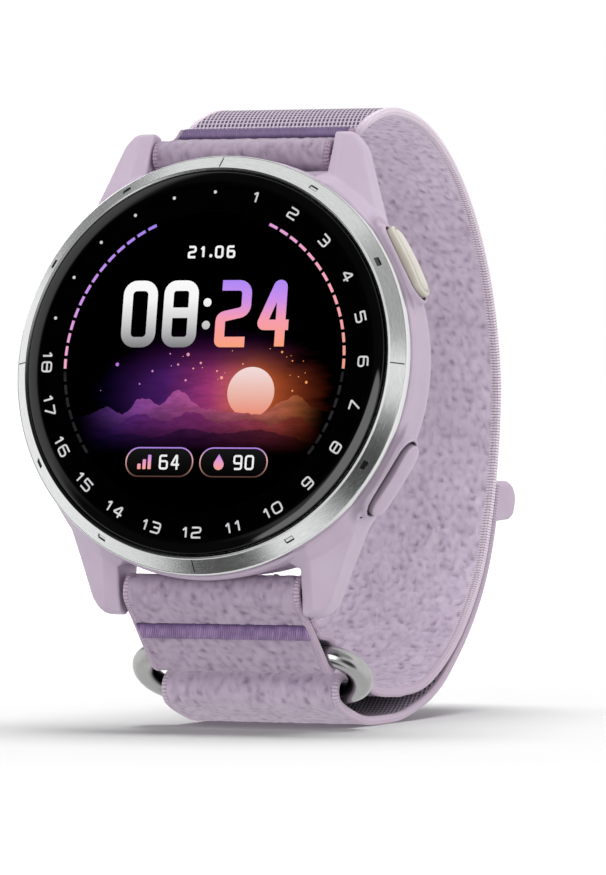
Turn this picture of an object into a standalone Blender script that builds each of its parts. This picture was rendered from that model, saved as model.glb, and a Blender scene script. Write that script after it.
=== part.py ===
"""A round golf GPS watch on a closed hook-and-loop strap, standing on the bottom of its strap.

Part frame: metres, +Z up, +X towards 3 o'clock, the dial looks towards -Y and leans back.
Case pieces are drawn in the watch frame (x to 3 o'clock, y to 12 o'clock, z out of the dial),
strap pieces in a side view (Y, Z) measured from the centre of the dial. Lengths here are in mm.
"""

import math

import bmesh
import bpy
import numpy as np
from mathutils import Matrix, Vector

MM = 0.001

# ---- where the watch stands -------------------------------------------------
LEAN = 9.85  # degrees the dial leans back
FACE_Y = -29.16  # dial centre in the part frame
FACE_Z = 37.15  # the strap's flat bottom is then at Z = 0

# ---- case -------------------------------------------------------------------
CASE_R = 21.55
BEZEL_R = 21.35
LENS_R = 19.40
CAVITY_R = 18.30
DECK_Z, DECK_BOTTOM = -2.40, -2.95
LEDGE_TOP, LEDGE_BOTTOM, LEDGE_R = -8.60, -9.70, 14.50
COVER_R = 17.20
BACK_Z = -10.60
SCREW_CIRCLE = 16.20
TURN_STEPS = 48

# ---- lugs and spring bars -----------------------------------------------------
LUG_GAP = 20.20  # between the lugs' inner faces
LUG_DRAFT = 0.07
LUG_RIDGE, LUG_BEVEL, LUG_FACET = 11.25, 0.45, 0.90
# along a lug: y, front z at the ridge, back z, outer x
LUG_STATIONS = [(9.0, -2.60, -9.20, 18.60), (14.8, -2.90, -9.20, 16.15), (19.3, -3.55, -9.10, 14.45), (22.8, -4.50, -8.95, 13.20),
                (24.0, -4.95, -8.60, 12.70), (24.7, -5.60, -8.15, 12.00), (25.0, -6.60, -7.40, 11.40)]
BAR_Y, BAR_Z = 22.30, -6.50
BAR_R, BAR_BORE, BAR_HALF = 0.75, 0.50, 8.90
PIN_R, PIN_TIP = 0.42, 10.95
LUG_HOLE_R, LUG_HOLE_END = 0.50, 11.40
SCALLOP_R = 3.00
RELEASE_TRAVEL = 1.40
LEVER_X, LEVER_R, LEVER_REACH = 6.00, 0.40, 2.30
LEVER_DIR = (-0.81, -0.59)  # (y, z) on the 12 o'clock bar, mirrored at 6 o'clock

# ---- push buttons -------------------------------------------------------------
BUTTON_ANGLE = 30.0  # degrees above and below 3 o'clock
BUTTON_Z = -5.10
POCKET_FLOOR = 20.30  # distance from the watch axis
BUTTON_LENGTH, BUTTON_WIDTH = 8.20, 2.90
BUTTON_TRAVEL = 0.60
CAP_BOTTOM, CAP_TOP = 0.70, 2.40  # above the pocket floor
STEM_R, STEM_HOLE_R = 0.80, 0.90

# ---- strap --------------------------------------------------------------------
STRAP_T = 0.80
STRAP_HALF = 9.80
LOOSE = 0.30  # slack of the short strap round the lower bar
WRAP_R = 0.85 + STRAP_T / 2  # middle of the strap round a spring bar
FLOOR = -37.15  # under the dial centre
TAIL_GAP = 1.25  # middle of the folded-back layer from the middle of the inner one
RING_Y, RING_Z, RING_SLOPE = 11.77, -31.55, 39.2
RING_HALF, RING_ARC, RING_WIRE = 9.00, 3.25, 0.85
RING_HOLE = 1.10

# outer side of the loop in the side view, from behind the 12 o'clock lugs to the floor
LOOP_OUTER = [
    (17.3, 23.95), (19.6, 25.0), (24.8, 26.18), (30.2, 26.08), (35.7, 24.9),
    (41.3, 22.3), (47.0, 17.85), (51.4, 12.4), (54.3, 6.7), (56.1, 0.0),
    (56.3, -4.4), (55.0, -12.6), (51.4, -22.0), (45.6, -28.4), (40.0, -31.95),
    (34.4, -34.0), (28.0, -34.55),
]
# middle of the strap where its end turns back over the 12 o'clock bar and is sewn down
FLAP = [(15.7, 23.55), (14.9, 22.95), (13.6, 22.35), (12.2, 22.14)]
RETURN = [(12.6, 20.2), (13.8, 21.05), (15.4, 22.2)]
# middle of the strap where it turns round the ring's lower bar
FOLD = [
    (22.1, -33.75), (18.2, -32.75), (15.3, -31.95), (13.0, -31.75), (11.6, -32.3),
    (11.15, -33.3), (11.6, -34.3), (13.0, -35.0), (15.8, -35.9), (20.0, -36.85),
    (24.0, -36.95), (27.5, -36.85), (31.0, -36.1), (34.0, -35.15), (37.0, -33.95),
]

# =============================================================================
for old in list(bpy.data.objects):
    bpy.data.objects.remove(old, do_unlink=True)


def new_collection(name):
    made = bpy.data.collections.new(name)
    bpy.context.scene.collection.children.link(made)
    return made


PARTS = new_collection("golf_gps_watch")
CUTTERS = new_collection("cutters")


def material(name, colour, roughness, metallic=0.0):
    made = bpy.data.materials.new(name)
    made.use_nodes = True
    shader = made.node_tree.nodes["Principled BSDF"]
    shader.inputs["Base Color"].default_value = (*colour, 1.0)
    shader.inputs["Roughness"].default_value = roughness
    shader.inputs["Metallic"].default_value = metallic
    return made


LILAC = material("lilac_polymer", (0.60, 0.50, 0.63), 0.5)
CREAM = material("cream_polymer", (0.76, 0.74, 0.65), 0.4)
ALUMINIUM = material("bezel_aluminium", (0.72, 0.73, 0.73), 0.3, 1.0)
STEEL = material("satin_steel", (0.55, 0.55, 0.54), 0.3, 1.0)
GLASS = material("black_glass", (0.01, 0.01, 0.012), 0.05)
PANEL = material("display_black", (0.02, 0.02, 0.03), 0.3)
RUBBER = material("seal_rubber", (0.04, 0.04, 0.04), 0.7)
BOARD = material("board_green", (0.03, 0.16, 0.09), 0.5)
CELL = material("cell_foil", (0.60, 0.61, 0.63), 0.35, 0.6)
BLACK = material("black_polymer", (0.05, 0.05, 0.055), 0.5)
GOLD = material("gilt_contact", (0.83, 0.62, 0.28), 0.25, 1.0)
KNIT = material("lilac_knit", (0.48, 0.40, 0.52), 0.9)
THREAD = material("purple_thread", (0.20, 0.11, 0.30), 0.8)
HOOK = material("hook_tape", (0.40, 0.33, 0.44), 0.9)
TAB = material("lilac_rubber", (0.50, 0.42, 0.53), 0.6)


def empty(name, parent=None, matrix=None):
    made = bpy.data.objects.new(name, None)
    PARTS.objects.link(made)
    made.empty_display_size = 0.004
    made.parent = parent
    if matrix is not None:
        made.matrix_local = matrix
    return made


def put(obj, mat, parent=None, matrix=None, cutter=False):
    (CUTTERS if cutter else PARTS).objects.link(obj)
    obj.parent = parent
    if matrix is not None:
        obj.matrix_local = matrix
    if cutter:
        obj.hide_render = True
        obj.display_type = "WIRE"
    else:
        obj.data.materials.append(mat)
    return obj


def move(x, y, z):
    return Matrix.Translation((x * MM, y * MM, z * MM))


def turned(name, profile, mat=None, parent=None, matrix=None, steps=TURN_STEPS, cutter=False):
    """A turned piece. The profile (r, z) runs down its outer side; one that starts and ends on the axis stays open there."""
    mesh = bpy.data.meshes.new(name)
    count = len(profile)
    joined = profile[0][0] > 0
    edges = [(i, i + 1) for i in range(count - 1)] + ([(count - 1, 0)] if joined else [])
    mesh.from_pydata([(r * MM, 0.0, z * MM) for r, z in profile], edges, [])
    obj = put(bpy.data.objects.new(name, mesh), mat, parent, matrix, cutter)
    screw = obj.modifiers.new("Turn", "SCREW")
    screw.axis = "Z"
    screw.angle = 2 * math.pi
    screw.steps = screw.render_steps = steps
    screw.use_merge_vertices = True
    screw.merge_threshold = 0.00001
    return obj


def plate(name, loops, low, high, mat=None, parent=None, matrix=None, cutter=False):
    """A flat outline (with holes, if more loops follow the first) from z = low to z = high."""
    data = bpy.data.curves.new(name, "CURVE")
    data.dimensions = "2D"
    data.fill_mode = "BOTH"
    data.extrude = (high - low) / 2 * MM
    for loop in loops:
        spline = data.splines.new("POLY")
        spline.points.add(len(loop) - 1)
        for point, (x, y) in zip(spline.points, loop):
            point.co = (x * MM, y * MM, 0.0, 1.0)
        spline.use_cyclic_u = True
    return solid_from(data, name, mat, parent, matrix, cutter, (high + low) / 2)


def solid_from(data, name, mat, parent, matrix, cutter=False, lift=0.0):
    """The curve's evaluated surface as one closed mesh."""
    guide = bpy.data.objects.new(name + "_guide", data)
    bpy.context.scene.collection.objects.link(guide)
    graph = bpy.context.evaluated_depsgraph_get()
    mesh = bpy.data.meshes.new_from_object(guide.evaluated_get(graph))
    bpy.data.objects.remove(guide, do_unlink=True)
    mesh.name = name
    mesh.materials.clear()
    work = bmesh.new()
    work.from_mesh(mesh)
    bmesh.ops.remove_doubles(work, verts=work.verts, dist=0.000002)
    bmesh.ops.translate(work, verts=work.verts, vec=(0, 0, lift * MM))
    bmesh.ops.recalc_face_normals(work, faces=work.faces)
    work.to_mesh(mesh)
    work.free()
    return put(bpy.data.objects.new(name, mesh), mat, parent, matrix, cutter)


def wire(name, points, radius, mat, parent=None, matrix=None, closed=False, resolution=2):
    data = bpy.data.curves.new(name, "CURVE")
    data.dimensions = "3D"
    data.bevel_depth = radius * MM
    data.bevel_resolution = resolution
    data.use_fill_caps = True
    spline = data.splines.new("POLY")
    spline.points.add(len(points) - 1)
    for point, (x, y, z) in zip(spline.points, points):
        point.co = (x * MM, y * MM, z * MM, 1.0)
    spline.use_cyclic_u = closed
    return solid_from(data, name, mat, parent, matrix)


def rod(name, radius, low, high, mat=None, parent=None, matrix=None, sides=16, cutter=False):
    """A cylinder along local z."""
    mesh = bpy.data.meshes.new(name)
    work = bmesh.new()
    bmesh.ops.create_cone(work, cap_ends=True, segments=sides, radius1=radius * MM, radius2=radius * MM,
                          depth=(high - low) * MM, matrix=move(0, 0, (high + low) / 2))
    work.to_mesh(mesh)
    work.free()
    return put(bpy.data.objects.new(name, mesh), mat, parent, matrix, cutter)


def block(name, size, centre, mat=None, parent=None, matrix=None, cutter=False, bevel=0.0):
    mesh = bpy.data.meshes.new(name)
    work = bmesh.new()
    bmesh.ops.create_cube(work, size=1.0)
    bmesh.ops.scale(work, vec=[s * MM for s in size], verts=work.verts)
    bmesh.ops.translate(work, vec=[c * MM for c in centre], verts=work.verts)
    work.to_mesh(mesh)
    work.free()
    obj = put(bpy.data.objects.new(name, mesh), mat, parent, matrix, cutter)
    if bevel:
        soften(obj, bevel)
    return obj


def loft(name, sections, parent):
    """A cutter skinned over a row of closed outlines, capped at both ends."""
    mesh = bpy.data.meshes.new(name)
    work = bmesh.new()
    rings = []
    for points in sections:
        corners = [work.verts.new([c * MM for c in point]) for point in points]
        rings.append([work.edges.new((corners[i - 1], corners[i])) for i in range(len(corners))])
    for first, second in zip(rings, rings[1:]):
        bmesh.ops.bridge_loops(work, edges=first + second)
    bmesh.ops.contextual_create(work, geom=rings[0])
    bmesh.ops.contextual_create(work, geom=rings[-1])
    bmesh.ops.recalc_face_normals(work, faces=work.faces)
    work.to_mesh(mesh)
    work.free()
    return put(bpy.data.objects.new(name, mesh), None, parent, cutter=True)


def soften(obj, width, segments=2):
    made = obj.modifiers.new("Soften", "BEVEL")
    made.width = width * MM
    made.segments = segments
    made.limit_method = "ANGLE"
    made.angle_limit = math.radians(40)
    return made


def combine(obj, other, operation):
    made = obj.modifiers.new(operation.title(), "BOOLEAN")
    made.operation = operation
    made.solver = "EXACT"
    made.object = other
    return made


def rounded(width, height, radius, steps=4):
    points = []
    for k, (sx, sy) in enumerate([(1, 1), (-1, 1), (-1, -1), (1, -1)]):
        for i in range(steps + 1):
            a = math.pi / 2 * (k + i / steps)
            points.append((sx * (width / 2 - radius) + radius * math.cos(a),
                           sy * (height / 2 - radius) + radius * math.sin(a)))
    return points


def pill(length, width, steps=8):
    r, points = width / 2, []
    for side in (1, -1):
        for i in range(steps + 1):
            a = -math.pi / 2 + math.pi * i / steps
            points.append((side * (length / 2 - r + r * math.cos(a)), side * r * math.sin(a)))
    return points


def circle(cx, cy, radius, sides=20):
    return [(cx + radius * math.cos(2 * math.pi * i / sides), cy + radius * math.sin(2 * math.pi * i / sides))
            for i in range(sides)]


def arc(cx, cy, radius, start, end, steps):
    return [(cx + radius * math.cos(math.radians(start + (end - start) * i / steps)),
             cy + radius * math.sin(math.radians(start + (end - start) * i / steps))) for i in range(steps + 1)]


# ---- reference empties ----------------------------------------------------------
STAND = empty("dial_centre", matrix=move(0, FACE_Y, FACE_Z))
HEAD = empty("watch_axis", STAND, Matrix.Rotation(math.radians(90 - LEAN), 4, "X"))
SIDE = empty("side_view", STAND, Matrix(((0, 0, 1, 0), (1, 0, 0, 0), (0, 1, 0, 0), (0, 0, 0, 1))))
ACROSS = Matrix.Rotation(math.radians(90), 4, "Y")  # local z along the watch's x


def side_point(y, z):
    """A watch-frame (y, z) as a side-view (Y, Z)."""
    t = math.radians(LEAN)
    return (-z * math.cos(t) + y * math.sin(t), y * math.cos(t) + z * math.sin(t))


TOP_BAR = side_point(BAR_Y, BAR_Z)
LOW_BAR = side_point(-BAR_Y, BAR_Z)

# ---- case body -------------------------------------------------------------------
case_body = turned("case_body", [
    (17.70, DECK_Z), (21.25, DECK_Z), (21.50, -2.62), (CASE_R, -3.20), (CASE_R, -6.70), (21.20, -7.80),
    (20.40, -8.90), (19.30, -9.90), (18.50, -10.42), (18.00, BACK_Z), (17.30, BACK_Z), (17.30, LEDGE_BOTTOM),
    (LEDGE_R, LEDGE_BOTTOM), (LEDGE_R, LEDGE_TOP), (CAVITY_R, LEDGE_TOP), (CAVITY_R, DECK_BOTTOM),
    (17.70, DECK_BOTTOM)], LILAC, HEAD)

half_gap = LUG_GAP / 2
# across a lug at each y: a bevel on the strap side, a ridge, an outer facet and a side that draws in to the back
lug_sections = []
for y, front_z, back_z, outer in LUG_STATIONS:
    depth = front_z - back_z
    lug_sections.append([(half_gap, y, back_z), (half_gap, y, front_z - min(LUG_BEVEL, 0.25 * depth)), (LUG_RIDGE, y, front_z),
                         (outer, y, front_z - min(LUG_FACET, 0.5 * depth)), (outer - LUG_DRAFT * depth, y, back_z)])
lug_blank = loft("lug_blank", lug_sections, HEAD)
lug_mask = plate("lug_mask", [[(9.0, 17.3), (10.1, 16.7), (13.8, 13.8), (16.6, 10.2), (24.0, 10.2), (24.0, 30.0), (9.0, 30.0)]],
                 -12.0, 0.0, parent=HEAD, cutter=True)
combine(lug_blank, lug_mask, "INTERSECT")
lug_mirror = lug_blank.modifiers.new("Four", "MIRROR")
lug_mirror.use_axis = (True, True, False)
lug_mirror.merge_threshold = 0.00001
combine(case_body, lug_blank, "UNION")

for end in (1, -1):
    word = "upper" if end > 0 else "lower"
    scallop = rod(word + "_scallop", SCALLOP_R, -half_gap, half_gap, parent=HEAD,
                  matrix=move(0, end * BAR_Y, BAR_Z) @ ACROSS, sides=24, cutter=True)
    combine(case_body, scallop, "DIFFERENCE")
    lug_hole = rod(word + "_lug_hole", LUG_HOLE_R, -LUG_HOLE_END, LUG_HOLE_END, parent=HEAD,
                   matrix=move(0, end * BAR_Y, BAR_Z) @ ACROSS, sides=16, cutter=True)
    combine(case_body, lug_hole, "DIFFERENCE")

# ---- bezel, lens and their gasket -------------------------------------------------
turned("bezel_ring", [(19.50, -0.30), (19.72, 0.02), (19.95, -0.12), (21.20, -1.20), (BEZEL_R, -1.45),
                      (BEZEL_R, -2.05), (21.20, -2.30), (17.90, -2.30), (17.90, -1.60), (19.50, -1.60)],
       ALUMINIUM, HEAD, steps=60)
turned("lens", [(0, 0.50), (18.10, 0.50), (18.80, 0.36), (19.25, 0.05), (LENS_R, -0.35), (LENS_R, -1.20), (0, -1.20)],
       GLASS, HEAD)
turned("lens_gasket", [(18.10, -1.25), (19.30, -1.25), (19.30, -1.55), (18.10, -1.55)], RUBBER, HEAD)

# ---- display and electronics, from the lens inwards --------------------------------
turned("display_panel", [(0, -1.30), (17.00, -1.30), (17.00, -2.38), (0, -2.38)], PANEL, HEAD)
turned("display_frame", [(13.00, -2.50), (17.50, -2.50), (17.50, -3.10), (13.00, -3.10)], BLACK, HEAD)
plate("gps_antenna", [arc(0, 0, 18.05, 48, 312, 30) + arc(0, 0, 16.70, 312, 48, 30)], -3.80, -3.40, GOLD, HEAD)
turned("main_board", [(0, -5.75), (16.40, -5.75), (16.40, -6.50), (0, -6.50)], BOARD, HEAD)
block("radio_shield", (11.0, 9.0, 1.25), (-6.0, 5.0, -5.06), STEEL, HEAD, bevel=0.2)
turned("vibration_motor", [(0, -4.25), (3.40, -4.25), (3.60, -4.45), (3.60, -5.68), (0, -5.68)], STEEL, HEAD,
       move(-5.0, -8.5, 0), steps=24)
plate("battery", [rounded(22.0, 19.0, 2.0)], -8.50, -6.58, CELL, HEAD)
plate("sensor_board", [rounded(11.0, 9.0, 2.0)], -9.45, -8.75, BOARD, HEAD)

# ---- back cover, its seal, screws, sensor window and charging socket -----------------
back_cover = turned("back_cover", [
    (6.50, -9.78), (14.70, -9.78), (14.70, -10.13), (15.20, -10.13), (15.20, -9.78), (COVER_R, -9.78),
    (COVER_R, -10.45), (16.95, -10.70), (7.60, -10.70), (7.60, -10.25), (6.50, -10.25)], LILAC, HEAD)
turned("back_gasket", [(14.76, -9.73), (15.14, -9.73), (15.14, -10.10), (14.76, -10.10)], RUBBER, HEAD)
turned("sensor_window", [(0, -9.58), (6.40, -9.58), (6.40, -10.32), (7.50, -10.32), (7.50, -10.95), (6.80, -11.40),
                         (4.50, -11.80), (0, -11.90)], GLASS, HEAD, steps=36)
for k in range(4):
    place = Matrix.Rotation(math.radians(45 + 90 * k), 4, "Z") @ move(SCREW_CIRCLE, 0, 0)
    combine(case_body, rod(f"screw_tap_{k + 1}", 0.52, -9.9, -8.85, parent=HEAD, matrix=place, sides=12, cutter=True),
            "DIFFERENCE")
    combine(back_cover, turned(f"screw_seat_{k + 1}", [(0, -9.0), (0.52, -9.0), (0.52, -10.22), (0.90, -10.22),
                                                       (0.90, -12.0), (0, -12.0)],
                               parent=HEAD, matrix=place, steps=12, cutter=True), "DIFFERENCE")
    turned(f"back_screw_{k + 1}", [(0, -8.95), (0.42, -8.95), (0.42, -10.27), (0.80, -10.27), (0.80, -10.62),
                                   (0, -10.62)], STEEL, HEAD, place, steps=12)

SOCKET_Y = 11.20
combine(back_cover, block("socket_window", (6.3, 3.7, 4.0), (0, SOCKET_Y, -10.2), parent=HEAD, cutter=True), "DIFFERENCE")
PIN_STEPS = (-1.8, -0.6, 0.6, 1.8)
plate("charging_socket", [rounded(6.1, 3.5, 0.3, 2)] + [circle(x, 0, 0.42, 10) for x in PIN_STEPS], -10.40, -9.55,
      BLACK, HEAD, move(0, SOCKET_Y, 0))
for k, x in enumerate(PIN_STEPS):
    rod(f"charge_pin_{k + 1}", 0.36, -10.36, -9.20, GOLD, HEAD, move(x, SOCKET_Y, 0), sides=10)

# ---- push buttons ------------------------------------------------------------------
for word, sign, colour in (("start", 1, CREAM), ("back", -1, LILAC)):
    turn = Matrix.Rotation(math.radians(sign * BUTTON_ANGLE), 4, "Z")
    # local z points outwards along the travel, local x along the button, local y along the watch axis
    frame = turn @ move(POCKET_FLOOR, 0, BUTTON_Z) @ Matrix(((0, 0, 1, 0), (1, 0, 0, 0), (0, 1, 0, 0), (0, 0, 0, 1)))
    axis = empty(word + "_button_axis", HEAD, frame)
    pocket = plate(word + "_pocket", [pill(BUTTON_LENGTH + 0.24, BUTTON_WIDTH + 0.24)], 0.0, 4.0, parent=axis, cutter=True)
    bore = turned(word + "_bore", [(0, 0.5), (1.50, 0.5), (1.50, -0.5), (STEM_HOLE_R, -0.5), (STEM_HOLE_R, -3.2), (0, -3.2)],
                  parent=axis, steps=20, cutter=True)
    combine(case_body, pocket, "DIFFERENCE")
    combine(case_body, bore, "DIFFERENCE")
    cap = plate(word + "_button", [pill(BUTTON_LENGTH, BUTTON_WIDTH)], CAP_BOTTOM, CAP_TOP, colour, axis)
    soften(cap, 0.35, 2)
    stem = turned(word + "_stem", [(0, CAP_BOTTOM + 0.5), (STEM_R, CAP_BOTTOM + 0.5), (STEM_R, -0.72), (0.58, -0.72),
                                   (0.58, -1.13), (STEM_R, -1.13), (STEM_R, -2.16), (0.50, -2.16), (0.50, -2.54),
                                   (STEM_R, -2.54), (STEM_R, -3.30), (0, -3.30)], parent=axis, steps=16, cutter=True)
    combine(cap, stem, "UNION")
    turned(word + "_button_seal", [(0.64, -0.76), (0.80, -0.76), (0.87, -0.85), (0.87, -1.00), (0.80, -1.09),
                                   (0.64, -1.09)], RUBBER, axis, steps=16)
    plate(word + "_button_clip", [arc(0, 0, 1.25, 40, 320, 16) + arc(0, 0, 0.56, 320, 40, 12)], -2.50, -2.20, STEEL, axis)
    turns, per_turn, low, high = 2.5, 10, -0.33, 0.53
    wire(word + "_button_spring", [(1.15 * math.cos(2 * math.pi * i / per_turn), 1.15 * math.sin(2 * math.pi * i / per_turn),
                                    low + (high - low) * i / (turns * per_turn)) for i in range(int(turns * per_turn) + 1)],
         0.12, STEEL, axis, resolution=0)
    switch = block(word + "_switch", (3.2, 1.70, 1.10), (0, 0.25, -5.15), BLACK, axis)
    combine(switch, rod(word + "_plunger", 0.50, -4.9, -3.95, parent=axis, sides=12, cutter=True), "UNION")

# ---- spring bars with quick-release pins ----------------------------------------------
SPRING_START, SPRING_END, RELEASE_START = -1.95, 3.42, 3.50
for word, sign in (("upper", 1), ("lower", -1)):
    lever_angle = math.atan2(LEVER_DIR[1], sign * LEVER_DIR[0])  # in the watch's (y, z) plane
    # local z along the watch's x, local x along the lever
    frame = move(0, sign * BAR_Y, BAR_Z) @ Matrix.Rotation(lever_angle, 4, "X") @ Matrix(
        ((0, 0, 1, 0), (1, 0, 0, 0), (0, 1, 0, 0), (0, 0, 0, 1)))
    axis = empty(word + "_bar_axis", HEAD, frame)
    barrel = turned(word + "_bar_barrel", [(BAR_BORE, BAR_HALF), (BAR_R, BAR_HALF), (BAR_R, -BAR_HALF), (BAR_BORE, -BAR_HALF)],
                    STEEL, axis, steps=16)
    slot = block(word + "_barrel_slot", (2.0, 0.95, LEVER_R * 2 + RELEASE_TRAVEL + 0.2),
                 (1.0, 0, LEVER_X - RELEASE_TRAVEL / 2), parent=axis, cutter=True)
    combine(barrel, slot, "DIFFERENCE")
    rod(word + "_fixed_pin", PIN_R, -PIN_TIP, SPRING_START - 0.05, STEEL, axis, sides=12)
    pin = rod(word + "_release_pin", PIN_R, RELEASE_START, PIN_TIP, STEEL, axis, sides=12)
    lever = rod(word + "_lever", LEVER_R, 0.0, LEVER_REACH, parent=axis,
                matrix=move(0, 0, LEVER_X) @ Matrix.Rotation(math.radians(90), 4, "Y"), sides=12, cutter=True)
    combine(pin, lever, "UNION")
    turns, per_turn = 5, 8
    low, high = SPRING_START + 0.10, SPRING_END - 0.10
    wire(word + "_bar_spring", [(0.30 * math.cos(2 * math.pi * i / per_turn), 0.30 * math.sin(2 * math.pi * i / per_turn),
                                 low + (high - low) * i / (turns * per_turn)) for i in range(turns * per_turn + 1)],
         0.09, STEEL, axis, resolution=0)


# ---- strap curves --------------------------------------------------------------------
def unit(v):
    return v / np.linalg.norm(v, axis=-1, keepdims=True)


def normals(points):
    """Unit normals, to the left of the way the points run."""
    along = unit(np.gradient(points, axis=0))
    return np.stack([-along[:, 1], along[:, 0]], axis=1)


def through(points, steps=24):
    """A smooth curve through the points (centripetal Catmull-Rom)."""
    p = np.asarray(points, float)
    p = np.vstack([2 * p[0] - p[1], p, 2 * p[-1] - p[-2]])
    curve = []
    for i in range(1, len(p) - 2):
        knots = [0.0]
        for k in range(3):
            knots.append(knots[-1] + math.sqrt(np.linalg.norm(p[i + k] - p[i + k - 1])))
        t0, t1, t2, t3 = knots
        for t in np.linspace(t1, t2, steps, endpoint=False):
            a1 = (t1 - t) / (t1 - t0) * p[i - 1] + (t - t0) / (t1 - t0) * p[i]
            a2 = (t2 - t) / (t2 - t1) * p[i] + (t - t1) / (t2 - t1) * p[i + 1]
            a3 = (t3 - t) / (t3 - t2) * p[i + 1] + (t - t2) / (t3 - t2) * p[i + 2]
            b1 = (t2 - t) / (t2 - t0) * a1 + (t - t0) / (t2 - t0) * a2
            b2 = (t3 - t) / (t3 - t1) * a2 + (t - t1) / (t3 - t1) * a3
            curve.append((t2 - t) / (t2 - t1) * b1 + (t - t1) / (t2 - t1) * b2)
    curve.append(p[-2])
    return np.array(curve)


def thinned(points, turn=7.0, far=3.2):
    """The same curve with a point only where it has turned or run on far enough."""
    kept, heading = [0], None
    for i in range(1, len(points) - 1):
        step = points[i + 1] - points[i]
        now = math.atan2(step[1], step[0])
        if heading is None:
            heading = now
        change = abs((now - heading + math.pi) % (2 * math.pi) - math.pi)
        if change > math.radians(turn) or np.linalg.norm(points[i] - points[kept[-1]]) > far:
            kept.append(i)
            heading = now
    kept.append(len(points) - 1)
    return points[kept]


def band(middle, half):
    """Outline of a strip of the given half thickness along its middle line."""
    n = normals(middle)
    return [tuple(p) for p in middle + n * half] + [tuple(p) for p in (middle - n * half)[::-1]]


loop_outer = through(LOOP_OUTER)
# the loop runs over the top, down the back and under, so its outside is on the left's other side
loop_middle = loop_outer - normals(loop_outer) * (STRAP_T / 2)
wrap = arc(TOP_BAR[0], TOP_BAR[1], WRAP_R, 88, 292, 16)
folded = through([tuple(loop_middle[-1])] + FOLD)[1:]

# the folded-back layer follows the inner layer at a fixed distance from here to the end tab
SPLIT_Y, TAIL_END_Z = 44.3, -12.9
outer_run = loop_middle + normals(loop_middle) * TAIL_GAP
behind = [i for i in range(len(outer_run)) if outer_run[i][1] < TAIL_END_Z and outer_run[i][0] > 38.5 and loop_middle[i][1] < 0]
outer_run = outer_run[behind][::-1]
meet = int(np.argmin(np.abs(outer_run[:, 0] - 40.0)))
outer_run = outer_run[meet:]
split = int(np.argmin(np.abs(outer_run[:len(outer_run) // 2, 0] - SPLIT_Y)))
lead = through([tuple(p) for p in folded[-30::29]] + [tuple(outer_run[0]), tuple(outer_run[8])])
lead = lead[24:48]

middle = np.vstack([through(FLAP), wrap, through(RETURN + [tuple(loop_middle[0])])[:-1], loop_middle, folded, lead,
                    outer_run[: split + 1]])
middle = middle[np.r_[True, np.linalg.norm(np.diff(middle, axis=0), axis=1) > 1e-4]]
middle[:, 1] = np.maximum(middle[:, 1], FLOOR + STRAP_T / 2)
tail = outer_run[split:]

long_strap = plate("long_strap", [band(thinned(middle), STRAP_T / 2)], -STRAP_HALF, STRAP_HALF, KNIT, SIDE)


def lever_slot(word):
    """Room in the strap for the quick-release lever and its travel."""
    return block(word + "_strap_slot", (2.2, 1.10, LEVER_R * 2 + RELEASE_TRAVEL + 0.5), (1.45, 0, LEVER_X - RELEASE_TRAVEL / 2),
                 parent=bpy.data.objects[word + "_bar_axis"], cutter=True)


combine(long_strap, lever_slot("upper"), "DIFFERENCE")

# ---- tail of the long strap: opens about the outer edge of the split ---------------------
tail_normal = normals(tail)  # points back at the inner layer
HINGE = tail[0] - tail_normal[0] * STRAP_T / 2
TAIL = empty("tail_hinge", SIDE, move(HINGE[0], HINGE[1], 0))


def about(points):
    return [(p[0] - HINGE[0], p[1] - HINGE[1]) for p in points]


start = 0.12 * unit(tail[1] - tail[0])
tail_middle = thinned(np.vstack([tail[0] + start, tail[1:]]))
plate("strap_tail", [about(band(tail_middle, STRAP_T / 2))], -STRAP_HALF, STRAP_HALF, KNIT, TAIL)
hook_run = thinned(tail[8:-6])
hook_normal = normals(hook_run)
near, far = STRAP_T / 2 + 0.05, STRAP_T / 2 + 0.38
plate("hook_patch", [about([tuple(p) for p in hook_run + hook_normal * near] +
                           [tuple(p) for p in (hook_run + hook_normal * far)[::-1]])],
      -STRAP_HALF + 1.2, STRAP_HALF - 1.2, HOOK, TAIL)
tab_run = thinned(tail[tail[:, 1] > -16.9])
tab_back = tab_run - normals(tab_run) * (STRAP_T / 2 + 0.06)
tab_outer = [(59.9, -12.70), (61.2, -13.25), (61.95, -14.40), (61.75, -15.60), (61.1, -16.55), (60.2, -16.90)]
stopper_tab = plate("stopper_tab", [about([tuple(p) for p in tab_back] + tab_outer)], -9.3, 9.3, TAB, TAIL)
soften(stopper_tab, 0.6, 2)

# ---- ring and short strap ------------------------------------------------------------------
slope = math.radians(RING_SLOPE)
down = (math.cos(slope), -math.sin(slope))
UPPER_ROD = (RING_Y - RING_ARC * down[0], RING_Z - RING_ARC * down[1])
LOWER_ROD = (RING_Y + RING_ARC * down[0], RING_Z + RING_ARC * down[1])
across = np.array([UPPER_ROD[0] - LOW_BAR[0], UPPER_ROD[1] - LOW_BAR[1]])
reach = float(np.linalg.norm(across))
across = across / reach
front = np.array([across[1], -across[0]])  # out of the wrist loop, towards the viewer
SHORT = empty("short_strap_pivot", SIDE, move(LOW_BAR[0], LOW_BAR[1], 0))
heading = math.degrees(math.atan2(front[1], front[0]))


def on_short(s, offset):
    return tuple(across * s + front * offset)


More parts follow.
